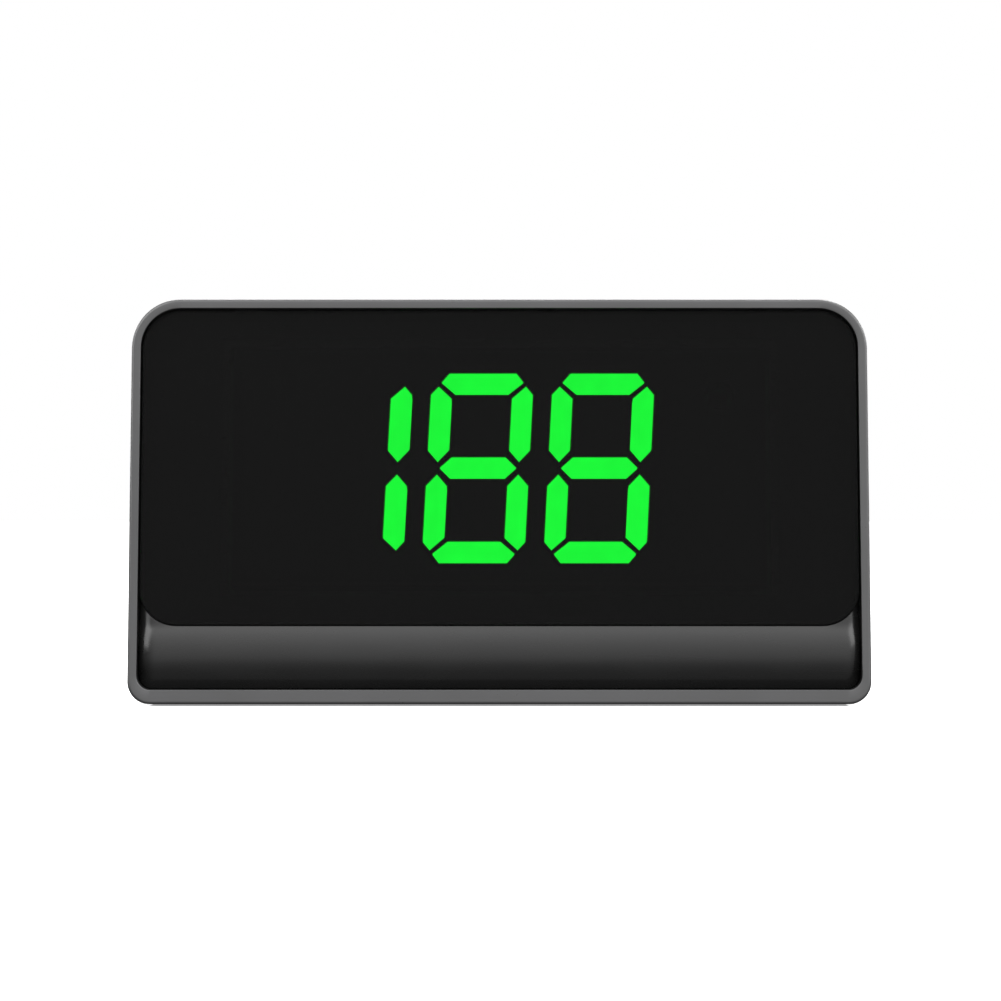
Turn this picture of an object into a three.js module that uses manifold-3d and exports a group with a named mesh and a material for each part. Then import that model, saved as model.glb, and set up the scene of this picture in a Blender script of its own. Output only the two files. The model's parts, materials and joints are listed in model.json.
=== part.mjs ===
// A small solar-charged speed display for a dashboard, as separate pieces.
// Millimetres, +Z up. The front faces -Y, and the origin is on the underside
// of the foot pad, in the middle of the base.
import * as THREE from "three";
import { mergeVertices } from "three/addons/utils/BufferGeometryUtils.js";
import Module from "manifold-3d";

const wasm = await Module();
wasm.setup();

// ---------------------------------------------------------------- dimensions

const width = 80;
const height = 44;
const depth = 30;
const lean = THREE.MathUtils.degToRad(9); // the face leans back by this angle
const floorZ = 0.2; // underside of the case: the foot pad stands proud of it
const wall = 1.6;
const fit = 0.1; // clearance between two moulded pieces

const topCorner = 5.3;
const bottomCorner = 2.45;
const rim = { side: 1.0, top: 1.0, bottom: 1.55, thick: 3.2 };

// Depths are measured square to the face, from the front of the trim ring.
const layer = {
  chin: 0.55,
  window: [0.5, 1.5],
  tape: [1.6, 1.8],
  recess: 1.85,
  wallBack: 2.9,
  flange: [3.3, 4.6],
  rearShell: 4.7,
  reflector: [2.1, 6.2],
  lightGuide: [2.1, 5.0],
  led: [5.6, 6.4],
  board: [6.3, 7.3],
  cellTape: [7.4, 7.9],
  cell: [8.1, 12.9],
};

const chin = { top: 8.5, upward: 29, downward: 30 }; // roll of the lower lip, in degrees
const windowCorner = 4.2;

const digit = { width: 11.1, height: 20.8, bar: 2.25, pitch: 13.2, slant: 3 };
const display = { x: -2.33, up: 26.1, halfWidth: 29, halfHeight: 13 };

const topDepth = 13.5; // depth of the case along its top, from the foot of the face
const stripTop = 11; // top of the upright strip at the back
const panel = { width: 72, length: 31, recess: 1.7 };
const cellCount = 6;

const mainBoard = { halfWidth: 34, front: -6.2, back: 12.6, bottom: 4, top: 5 };
const onBoard = mainBoard.top + 0.05;
const boardScrews = [[-29.5, 10.8], [29.5, 10.8], [-14.5, -4.6], [14.5, -4.6]];
const caseScrew = { x: 35, y: -8, head: 1.7, shank: 1.0 };
const footPad = { halfWidth: 30, front: -6.5, back: 10.5, sink: 0.4 };

const usb = { width: 8.94, high: 3.2, z: 6.65, mouth: 14.4, long: 7.5 };
const button = { x: 16, z: 7.5, cap: 1.9, flange: 2.3, plunger: 1.6, travel: 0.4 };
const slider = { x: -13, z: 6.85, travel: 2.0, stem: 0.8 };

const round = 20; // facets round a small circle
const arcSteps = 4; // half the facets on each rounded corner

// ------------------------------------------------------------------- helpers

const half = (value) => value / 2;

// A closed solid from any three.js geometry.
function solid(geometry) {
  const bare = geometry.clone();
  bare.deleteAttribute("normal");
  bare.deleteAttribute("uv");
  const merged = mergeVertices(bare, 1e-4);
  const corners = merged.index.array;
  const faces = [];
  for (let i = 0; i < corners.length; i += 3) {
    const [a, b, c] = [corners[i], corners[i + 1], corners[i + 2]];
    if (a !== b && b !== c && c !== a) faces.push(a, b, c);
  }
  const vertProperties = new Float32Array(merged.attributes.position.array);
  const triVerts = new Uint32Array(faces);
  return new wasm.Manifold(new wasm.Mesh({ numProp: 3, vertProperties, triVerts }));
}

// A three.js geometry from a closed solid.
function surface(body) {
  const mesh = body.getMesh();
  const geometry = new THREE.BufferGeometry();
  geometry.setAttribute("position", new THREE.BufferAttribute(mesh.vertProperties, 3));
  geometry.setIndex(new THREE.BufferAttribute(mesh.triVerts, 1));
  geometry.computeVertexNormals();
  return geometry;
}

const join = (first, ...rest) => rest.reduce((sum, next) => sum.add(next), first);
const cut = (first, ...rest) => rest.reduce((left, next) => left.subtract(next), first);

function extruded(shape, long) {
  return new THREE.ExtrudeGeometry(shape, { depth: long, bevelEnabled: false, curveSegments: arcSteps });
}

// Extrudes an outline drawn as (x, z) along Y.
function frontPrism(shape, near, far) {
  const axes = new THREE.Matrix4().makeBasis(
    new THREE.Vector3(1, 0, 0), new THREE.Vector3(0, 0, 1), new THREE.Vector3(0, -1, 0));
  return solid(extruded(shape, far - near).applyMatrix4(axes).translate(0, far, 0));
}

// Extrudes a profile drawn as (y, z) along X, centred.
function sidePrism(shape, long) {
  const axes = new THREE.Matrix4().makeBasis(
    new THREE.Vector3(0, 1, 0), new THREE.Vector3(0, 0, 1), new THREE.Vector3(1, 0, 0));
  return solid(extruded(shape, long).applyMatrix4(axes).translate(-half(long), 0, 0));
}

function block([x0, x1], [y0, y1], [z0, z1]) {
  const box = new THREE.BoxGeometry(x1 - x0, y1 - y0, z1 - z0);
  return solid(box.translate(half(x0 + x1), half(y0 + y1), half(z0 + z1)));
}

// A cylinder standing on Z at (x, y).
function post(radius, x, y, [z0, z1]) {
  const rod = new THREE.CylinderGeometry(radius, radius, z1 - z0, round).rotateX(Math.PI / 2);
  return solid(rod.translate(x, y, half(z0 + z1)));
}

// A cylinder lying along Y at (x, z).
function pinAlongY(radius, x, z, [y0, y1]) {
  const rod = new THREE.CylinderGeometry(radius, radius, y1 - y0, round);
  return solid(rod.translate(x, half(y0 + y1), z));
}

// A rectangle with one radius on its lower corners and one on its upper corners.
function roundedOutline(halfWidth, low, high, lowRadius, highRadius) {
  const quarter = Math.PI / 2;
  const shape = new THREE.Shape();
  shape.moveTo(halfWidth - lowRadius, low);
  shape.absarc(halfWidth - lowRadius, low + lowRadius, lowRadius, -quarter, 0);
  shape.absarc(halfWidth - highRadius, high - highRadius, highRadius, 0, quarter);
  shape.absarc(highRadius - halfWidth, high - highRadius, highRadius, quarter, 2 * quarter);
  shape.absarc(lowRadius - halfWidth, low + lowRadius, lowRadius, 2 * quarter, 3 * quarter);
  shape.closePath();
  return shape;
}

// A slot outline with round ends, centred on (x, z).
function slotOutline(x, z, wide, high) {
  const radius = half(high);
  const run = half(wide) - radius;
  const shape = new THREE.Shape();
  shape.moveTo(x - run, z - radius);
  shape.absarc(x + run, z, radius, -Math.PI / 2, Math.PI / 2);
  shape.absarc(x - run, z, radius, Math.PI / 2, 1.5 * Math.PI);
  shape.closePath();
  return shape;
}

// A polygon whose corners are softened: each corner is [u, v, setback].
function softPolygon(corners) {
  const shape = new THREE.Shape();
  corners.forEach(([u, v, setback], i) => {
    const corner = new THREE.Vector2(u, v);
    const before = new THREE.Vector2(...corners.at(i - 1).slice(0, 2));
    const after = new THREE.Vector2(...corners[(i + 1) % corners.length].slice(0, 2));
    const start = corner.clone().add(before.sub(corner).setLength(setback));
    const end = corner.clone().add(after.sub(corner).setLength(setback));
    if (i === 0) shape.moveTo(start.x, start.y);
    else shape.lineTo(start.x, start.y);
    if (setback > 0) shape.quadraticCurveTo(u, v, end.x, end.y);
  });
  shape.closePath();
  return shape;
}

function piece(name, body, color, roughness, metalness = 0) {
  const geometry = body instanceof THREE.BufferGeometry ? body : surface(body);
  const material = new THREE.MeshStandardMaterial({ color, roughness, metalness });
  const mesh = new THREE.Mesh(geometry, material);
  mesh.name = name;
  return mesh;
}

// ------------------------------------------------------- shapes of the casing

const footY = -half(depth);

// Y of a plane that lies a given depth behind the leaning face.
const faceY = (z, behind) => footY + (z - floorZ) * Math.tan(lean) + behind / Math.cos(lean);

// The slab between two depths behind the face.
function faceSlab(near, far) {
  const low = -5;
  const high = height + 5;
  return sidePrism(new THREE.Shape([
    new THREE.Vector2(faceY(low, near), low),
    new THREE.Vector2(faceY(low, far), low),
    new THREE.Vector2(faceY(high, far), high),
    new THREE.Vector2(faceY(high, near), high),
  ]), width + 10);
}

// The case outline seen from the front, moved in by an inset on every side.
function caseOutline(inset, top = height - inset) {
  const low = floorZ + inset;
  const lowRadius = Math.max(bottomCorner - inset, 0.6);
  return roundedOutline(half(width) - inset, low, top, lowRadius, topCorner - Math.min(inset, 3));
}

// The opening of the trim ring, made smaller by a gap all round.
function rimOutline(gap) {
  const low = floorZ + rim.bottom + gap;
  const high = height - rim.top - gap;
  return roundedOutline(half(width) - rim.side - gap, low, high, 1.5 - gap, topCorner - rim.side - gap);
}

// The window fills the ring above the chin.
function windowOutline(gap) {
  const high = height - rim.top - gap;
  const halfWidth = half(width) - rim.side - gap;
  return roundedOutline(halfWidth, chin.top + gap, high, windowCorner - gap, topCorner - rim.side - gap);
}

const throughFront = (shape) => frontPrism(shape, footY - 2, half(depth));

function trimRing() {
  const ring = cut(throughFront(caseOutline(0)), throughFront(rimOutline(0)));
  return ring.intersect(faceSlab(0, rim.thick));
}

// The chin is an arc: it starts turned up under the window and rolls under.
function frontProfile() {
  const up = THREE.MathUtils.degToRad(chin.upward);
  const down = THREE.MathUtils.degToRad(chin.downward);
  const radius = (chin.top - floorZ - rim.bottom) / (Math.sin(up) + Math.sin(down));
  const centreY = faceY(chin.top, layer.chin) + radius * Math.cos(up);
  const centreZ = chin.top - radius * Math.sin(up);
  const top = height + 1;
  const shape = new THREE.Shape();
  shape.moveTo(faceY(top, layer.chin), top);
  shape.lineTo(faceY(chin.top, layer.chin), chin.top);
  shape.absarc(centreY, centreZ, radius, Math.PI - up, Math.PI + down);
  shape.lineTo(centreY - radius * Math.cos(down), -1);
  shape.lineTo(faceY(-1, layer.flange[0] + 0.2), -1);
  shape.lineTo(faceY(top, layer.flange[0] + 0.2), top);
  shape.closePath();
  return shape;
}

function screwLug(side) {
  const lug = block([32, 38], [-11, -6.4], [2, 7]).translate(side < 0 ? [-70, 0, 0] : [0, 0, 0]);
  const pilot = post(caseScrew.shank + fit, side * caseScrew.x, caseScrew.y, [1, 6.4]);
  return cut(lug, pilot);
}

function displayOpening(gap) {
  const across = [-display.halfWidth - gap, display.halfWidth + gap];
  const up = [display.up - display.halfHeight - gap, display.up + display.halfHeight + gap];
  return onFace(block(across, [0, 12], up));
}

function frontShell() {
  const face = throughFront(rimOutline(fit)).intersect(sidePrism(frontProfile(), width));
  const flange = throughFront(caseOutline(0)).intersect(faceSlab(...layer.flange));
  const pocketShape = roundedOutline(half(width) - 2.8, floorZ + 2.8, height - 2.8, 0.8, 2.6);
  const pocket = throughFront(pocketShape).intersect(faceSlab(layer.wallBack, 20));
  const recess = throughFront(windowOutline(0)).intersect(faceSlab(-1, layer.recess));
  const shell = cut(join(face, flange), pocket, recess, displayOpening(0.5));
  return join(shell, screwLug(-1), screwLug(1));
}

function displayWindow() {
  return throughFront(windowOutline(fit)).intersect(faceSlab(...layer.window));
}

function windowTape() {
  const frame = cut(throughFront(windowOutline(0.4)), displayOpening(1.2));
  return frame.intersect(faceSlab(...layer.tape));
}

// Side profile of the rear shell, moved in by an inset; the back slopes.
const slopeTopY = footY + topDepth;
const slopeRun = half(depth) - slopeTopY;
const slopeDrop = height - stripTop;
const slopeAngle = Math.atan2(slopeDrop, slopeRun);
const slopeY = (z) => slopeTopY + ((height - z) * slopeRun) / slopeDrop;

function rearProfile() {
  const start = layer.rearShell;
  return softPolygon([
    [faceY(floorZ, start), floorZ, 0],
    [half(depth), floorZ, 1.4],
    [half(depth), stripTop, 2.2],
    [slopeTopY, height, 1.3],
    [faceY(height, start), height, 0],
  ]);
}

function cavityProfile() {
  const behindSlope = (wall + 1.4) / Math.sin(slopeAngle);
  const top = 40;
  const back = half(depth) - 1.8;
  return softPolygon([
    [faceY(0, 3.7), 0, 0],
    [back, 0, 0],
    [back, stripTop - 1, 0],
    [slopeY(stripTop + 1.5) - behindSlope, stripTop + 1.5, 0],
    [slopeY(top) - behindSlope, top, 0],
    [faceY(top, 3.7), top, 0],
  ]);
}

// Places a solid that is drawn on the sloping back: x across, y down the slope, z out of it.
function onSlope(body) {
  const place = new THREE.Matrix4().makeRotationX(-slopeAngle);
  place.setPosition(0, half(slopeTopY + half(depth)), half(height + stripTop));
  return body.transform(place.elements);
}

// Places a solid that is drawn on the face: x across, y into the case, z up the face.
function onFace(body) {
  const place = new THREE.Matrix4().makeRotationX(-lean);
  place.setPosition(0, footY, floorZ);
  return body.transform(place.elements);
}

const leadHole = { x: -24, down: 6, wide: 5, long: 2.4 };

function rearShell() {
  const hull = throughFront(caseOutline(0)).intersect(sidePrism(rearProfile(), width + 2));
  const cavity = throughFront(caseOutline(wall)).intersect(sidePrism(cavityProfile(), width));
  const bosses = boardScrews.map(([x, y]) => post(2.3, x, y, [1.5, mainBoard.bottom - 0.05]));
  const pilots = boardScrews.map(([x, y]) => post(0.95, x, y, [1.9, mainBoard.top]));
  const panelHalf = [half(panel.width) + 0.2, half(panel.length) + 0.2];
  const panelBed = block([-panelHalf[0], panelHalf[0]], [-panelHalf[1], panelHalf[1]], [-panel.recess, 8]);
  const lead = block(
    [leadHole.x - half(leadHole.wide), leadHole.x + half(leadHole.wide)],
    [leadHole.down - half(leadHole.long), leadHole.down + half(leadHole.long)], [-6, 0]);
  const shell = join(cut(hull, cavity), ...bosses);
  const hollows = [...pilots, onSlope(panelBed), onSlope(lead), footPadBed()];
  return cut(shell, ...hollows, ...rearPorts(), ...screwHoles());
}

function padOutline(grow) {
  return roundedOutline(footPad.halfWidth + grow, footPad.front - grow, footPad.back + grow, 3, 3);
}

function footPadBed() {
  return solid(extruded(padOutline(0.15), footPad.sink + 2).translate(0, 0, floorZ - 2));
}

function screwHoles() {
  return [-1, 1].flatMap((side) => [
    post(caseScrew.head + 0.15, side * caseScrew.x, caseScrew.y, [-1, floorZ + 1]),
    post(caseScrew.shank + 0.15, side * caseScrew.x, caseScrew.y, [-1, 3]),
  ]);
}

// Charging port, button hole, switch slot and sound holes in the upright strip.
function rearPorts() {
  const out = half(depth) + 1;
  const port = frontPrism(slotOutline(0, usb.z, usb.width + 0.4, usb.high + 0.4), 12, out);
  const buttonHole = pinAlongY(button.cap + 0.15, button.x, button.z, [12, out]);
  const mid = slider.x + half(slider.travel);
  const reach = half(slider.travel) + slider.stem + 0.2;
  const slot = block([mid - reach, mid + reach], [12, out], [slider.z - 0.95, slider.z + 0.95]);
  const pocket = block([mid - 2.6, mid + 2.6], [14.1, out], [slider.z - 1.6, slider.z + 1.6]);
  const sound = [-2, 0, 2].map((step) => pinAlongY(0.5, 27 + step, 7, [12, out]));
  return [port, buttonHole, slot, pocket, ...sound];
}

// ------------------------------------------------------------------- display

// Outline of each bar of a digit, as [x, z] corners about the digit's middle.
const barShape = {
  tipIn: 0.35 * digit.bar,
  shoulder: 0.9,
  innerShoulder: 1.33,
  midShoulder: 1.25,
  tipTop: half(digit.height) - 1.45,
  tipLow: 0.77,
};
const levelShape = { top: 3.65, widest: 4.42, widestDown: 0.95, bottom: 2.85 };
const middleShape = { tip: 4.12, flat: 2.93 };

function uprightBar(side, end) {
  const outer = half(digit.width);
  const inner = outer - digit.bar;
  const { tipIn, shoulder, innerShoulder, midShoulder, tipTop, tipLow } = barShape;
  const corners = [
    [outer - tipIn, tipTop], [outer, tipTop - shoulder], [outer, tipLow + midShoulder],
    [half(outer + inner), tipLow], [inner, tipLow + midShoulder], [inner, tipTop - innerShoulder],
  ];
  return corners.map(([x, z]) => [side * x, end * z]);
}

function levelBar(end) {
  const edge = half(digit.height);
  const { top, widest, widestDown, bottom } = levelShape;
  const corners = [
    [top, edge], [widest, edge - widestDown], [bottom, edge - digit.bar],
    [-bottom, edge - digit.bar], [-widest, edge - widestDown], [-top, edge],
  ];
  return corners.map(([x, z]) => [x, end * z]);
}

function middleBar() {
  const { tip, flat } = middleShape;
  const thick = half(digit.bar);
  return [[tip, 0], [flat, -thick], [-flat, -thick], [-tip, 0], [-flat, thick], [flat, thick]];
}

const bars = {
  a: levelBar(1),
  b: uprightBar(1, 1),
  c: uprightBar(1, -1),
  d: levelBar(-1),
  e: uprightBar(-1, -1),
  f: uprightBar(-1, 1),
  g: middleBar(),
};

const digits = [
  { place: "hundreds", x: display.x - digit.pitch, letters: ["b", "c"] },
  { place: "tens", x: display.x, letters: ["a", "b", "c", "d", "e", "f", "g"] },
  { place: "units", x: display.x + digit.pitch, letters: ["a", "b", "c", "d", "e", "f", "g"] },
];

// The bars lean to the right, about the middle of the digit.
const slanted = ([x, z]) => [x + z * Math.tan(THREE.MathUtils.degToRad(digit.slant)), z];

// Moves every side of a convex outline outwards by a distance.
function grown(points, distance) {
  const lines = points.map((p, i) => {
    const q = points[(i + 1) % points.length];
    const along = new THREE.Vector2(q[0] - p[0], q[1] - p[1]).normalize();
    const out = new THREE.Vector2(along.y, -along.x);
    return { along, at: new THREE.Vector2(...p).addScaledVector(out, distance) };
  });
  return lines.map((next, i) => {
    const last = lines.at(i - 1);
    const between = next.at.clone().sub(last.at);
    const run = between.cross(next.along) / last.along.cross(next.along);
    const corner = last.at.clone().addScaledVector(last.along, run);
    return [corner.x, corner.y];
  });
}

// A bar's outline on the face, wound anticlockwise, with a gap round it.
function barOutline(place, letter, gap) {
  const points = bars[letter].map(slanted);
  const flat = points.map(([x, z]) => new THREE.Vector2(x, z));
  if (THREE.ShapeUtils.isClockWise(flat)) points.reverse();
  const moved = grown(points, gap).map(([x, z]) => new THREE.Vector2(x + place.x, z + display.up));
  return new THREE.Shape(moved);
}

const eachBar = (make) => digits.flatMap((place) => place.letters.map((letter) => make(place, letter)));

function lightGuides() {
  return eachBar((place, letter) => {
    const guide = onFace(frontPrism(barOutline(place, letter, 0), ...layer.lightGuide));
    return piece(`digit_${place.place}_${letter}`, guide, 0x0bfd33, 0.4);
  });
}

const sensorSpot = { x: 24, up: display.up + 8 };

function reflectorBlock() {
  const { x, up } = sensorSpot;
  const across = [-display.halfWidth, display.halfWidth];
  const high = [display.up - display.halfHeight, display.up + display.halfHeight];
  const cells = eachBar((place, letter) => frontPrism(barOutline(place, letter, 0.1), 1, 8));
  return onFace(cut(block(across, layer.reflector, high), ...cells, pinAlongY(1.6, x, up, [1, 8])));
}

// The board carries one small lamp behind the middle of each bar.
function displayBoard() {
  const board = block([-31, 31], layer.board, [10, 38.5]);
  const lamps = eachBar((place, letter) => {
    const points = bars[letter].map(slanted);
    const middleX = place.x + points.reduce((sum, p) => sum + p[0], 0) / points.length;
    const middleUp = display.up + points.reduce((sum, p) => sum + p[1], 0) / points.length;
    return block([middleX - 0.4, middleX + 0.4], layer.led, [middleUp - 0.4, middleUp + 0.4]);
  });
  return onFace(join(board, ...lamps));
}

function lightSensor() {
  const { x, up } = sensorSpot;
  return onFace(block([x - 1, x + 1], [5.3, 6.2], [up - 0.8, up + 0.8]));
}

// -------------------------------------------------------- power and main board

function batteryCell() {
  const shape = roundedOutline(18, 12, 30, 1.2, 1.2);
  const bevel = 0.9;
  const [near, far] = layer.cell;
  const body = new THREE.ExtrudeGeometry(shape, {
    depth: far - near - 2 * bevel, bevelThickness: bevel, bevelSize: bevel, bevelOffset: -bevel,
    bevelSegments: 2, curveSegments: 2,
  });
  return onFace(solid(body.rotateX(Math.PI / 2).translate(0, far - bevel, 0)));
}

const cellTape = () => onFace(block([-15, 15], layer.cellTape, [14, 28]));

const plug = { x: [22.9, 27.4], y: [-5.3, -2.1], z: [6.2, 10.3] };

function batterySocket() {
  const { x, y, z } = plug;
  const gap = 0.15;
  const shell = block([x[0] - 0.9, x[1] + 0.9], [y[0] - 0.7, y[1] + 0.7], [onBoard, 9]);
  return cut(shell, block([x[0] - gap, x[1] + gap], [y[0] - gap, y[1] + gap], [z[0] - 0.2, 10]));
}

const batteryPlug = () => block(plug.x, plug.y, plug.z);

// A wire along a smooth curve through its points.
function wire(points) {
  const path = new THREE.CatmullRomCurve3(points.map((p) => new THREE.Vector3(...p)));
  const section = new THREE.Shape().absarc(0, 0, 0.45, 0, 2 * Math.PI);
  return new THREE.ExtrudeGeometry(section, { steps: 14, curveSegments: arcSteps, extrudePath: path });
}

const batteryRed = [[18.4, -1.3, 26.3], [21.5, -1.6, 25.5], [24.2, -3, 18], [24.2, -3.7, 10.6]];
const batteryBlack = [[18.4, 0.9, 25.9], [22.5, 0.9, 25], [26.1, -1.8, 18], [26.1, -3.7, 10.6]];

// Each panel wire comes through the shell and drops to the back of the main board.
const panelWire = (x) => [[x, 7.7, 21.2], [x, 6.3, 19], [x, 8.4, 12], [x, 10.4, 5.4]];

function mainCircuit() {
  const { halfWidth, front, back, bottom, top } = mainBoard;
  const holes = boardScrews.map(([x, y]) => post(1.1, x, y, [0, 10]));
  return cut(block([-halfWidth, halfWidth], [front, back], [bottom, top]), ...holes);
}

function gpsAntenna() {
  const ceramic = block([-31, -18], [-5, 8], [onBoard, onBoard + 4]);
  const patch = block([-29.5, -19.5], [-3.5, 6.5], [onBoard + 3.9, onBoard + 4.15]);
  return join(ceramic, patch, post(0.7, -24, 2, [onBoard + 4, onBoard + 4.5]));
}

const gpsModule = () => block([-16, -5], [-2, 7], [onBoard, onBoard + 2.2]);

function microcontroller() {
  const body = block([7.5, 13.5], [-1.5, 4.5], [onBoard + 0.1, onBoard + 1.3]);
  const legs = [];
  for (let step = -2.5; step <= 2.5; step += 1) {
    const low = [onBoard, onBoard + 0.3];
    const along = [10.5 + step - 0.2, 10.5 + step + 0.2];
    const beside = [1.5 + step - 0.2, 1.5 + step + 0.2];
    legs.push(block(along, [-2.2, -1.4], low), block(along, [4.4, 5.2], low));
    legs.push(block([6.8, 7.6], beside, low), block([13.4, 14.2], beside, low));
  }
  return join(body, ...legs);
}

function boardHeader() {
  const pins = [-7, -5, -3, -1, 1, 3, 5, 7].map((x) => block([x - 0.3, x + 0.3], [-5.5, -4.9], [7, 10.2]));
  return join(block([-8.5, 8.5], [-6, -3.8], [onBoard, 7.6]), ...pins);
}

function buzzer() {
  const can = post(4, 27, 5, [onBoard, onBoard + 4]);
  return cut(can, post(0.8, 27, 5, [onBoard + 3, onBoard + 6]));
}

// A small can lying along X, on two bent legs.
function vibrationSensor() {
  const [x, y, radius, long] = [11, 6.7, 1.6, 8];
  const middle = onBoard + radius + 0.1;
  const can = new THREE.CylinderGeometry(radius, radius, long, round).rotateZ(Math.PI / 2);
  can.translate(x, y, middle);
  const across = [y - 0.25, y + 0.25];
  const legs = [-1, 1].flatMap((side) => {
    const foot = x + side * (half(long) + 0.4);
    return [
      block([foot - 0.25, foot + 0.25], across, [onBoard, middle + 0.25]),
      block([foot - 0.5, foot + 0.5], across, [middle - 0.25, middle + 0.25]),
    ];
  });
  return join(solid(can), ...legs);
}

function usbSocket() {
  const { mouth, long, z } = usb;
  const skin = 0.3;
  const outside = frontPrism(slotOutline(0, z, usb.width, usb.high), mouth - long, mouth);
  const inside = slotOutline(0, z, usb.width - 2 * skin, usb.high - 2 * skin);
  const tongue = block([-3.3, 3.3], [mouth - long + 1, mouth - 1], [z - 0.35, z + 0.35]);
  return join(cut(outside, frontPrism(inside, mouth - long + 1.2, mouth + 1)), tongue);
}

// ------------------------------------------------------------ what a hand moves

const wallInside = half(depth) - 1.8;

// A turned cap with a flange behind the wall, so that it can't fall out.
function buttonCap() {
  const profile = [
    [0, 12.75], [button.flange, 12.75], [button.flange, wallInside - 0.05], [button.cap, wallInside - 0.05],
    [button.cap, 15.4], [button.cap - 0.25, 15.65], [0, 15.7],
  ].map(([radius, along]) => new THREE.Vector2(radius, along));
  return solid(new THREE.LatheGeometry(profile, round).translate(button.x, 0, button.z));
}

function buttonSwitch() {
  const body = block([13, 19], [8.6, 12], [onBoard, 9.6]);
  return cut(body, pinAlongY(button.plunger + 0.12, button.x, button.z, [10.8, 13]));
}

const buttonPlunger = () => pinAlongY(button.plunger, button.x, button.z, [11.3, 12.7]);

function powerSwitch() {
  const mid = slider.x + half(slider.travel);
  const reach = half(slider.travel) + slider.stem + 0.12;
  const body = block([mid - 4.3, mid + 4.3], [9, 12.4], [onBoard, 8.6]);
  return cut(body, block([mid - reach, mid + reach], [10.4, 13], [slider.z - 0.87, slider.z + 0.87]));
}

function switchKnob() {
  const { x, z, stem } = slider;
  const shaft = block([x - stem, x + stem], [10.6, 14.5], [z - 0.75, z + 0.75]);
  const thumb = block([x - 1.3, x + 1.3], [14.3, 15], [z - 1.3, z + 1.3]);
  const ridges = [-0.8, 0, 0.8].map((step) => {
    return block([x + step - 0.2, x + step + 0.2], [14.9, 15.35], [z - 1.3, z + 1.3]);
  });
  return join(shaft, thumb, ...ridges);
}

// ----------------------------------------------------------------- solar panel

const onPanel = (across, down, through) => onSlope(block(across, down, through));

// One full-size sheet of the panel, between two heights above its face.
function panelSheet(through) {
  const [x, y] = [half(panel.width), half(panel.length)];
  return onPanel([-x, x], [-y, y], through);
}

function panelCells() {
  const pitch = (panel.width - 2) / cellCount;
  const gap = 0.5;
  return Array.from({ length: cellCount }, (_, i) => {
    const left = 1 - half(panel.width) + i * pitch;
    const cell = onPanel([left + half(gap), left + pitch - half(gap)], [-14.4, 14.4], [-0.7, -0.5]);
    return piece(`solar_cell_${i + 1}`, cell, 0x10142c, 0.3, 0.3);
  });
}

// -------------------------------------------------------------------- fasteners

function caseScrewBody(side) {
  const { x, y, head, shank } = caseScrew;
  const cross = [block([-0.8, 0.8], [-0.25, 0.25], [0, 0.75]), block([-0.25, 0.25], [-0.8, 0.8], [0, 0.75])];
  const sockets = cross.map((bar) => bar.translate([side * x, y, 0]));
  return cut(join(post(head, side * x, y, [0.35, 1.15]), post(shank, side * x, y, [1, 6])), ...sockets);
}

function boardScrewBody([x, y]) {
  const socket = block([x - 0.9, x + 0.9], [y - 0.2, y + 0.2], [5.8, 7]);
  return cut(join(post(1.5, x, y, [onBoard, 6.2]), post(0.8, x, y, [2.2, onBoard + 0.2])), socket);
}

const footPadBody = () => solid(extruded(padOutline(0), floorZ + footPad.sink - 0.05));

// -------------------------------------------------------------------- assembly

const speedDisplay = new THREE.Group();

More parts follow.
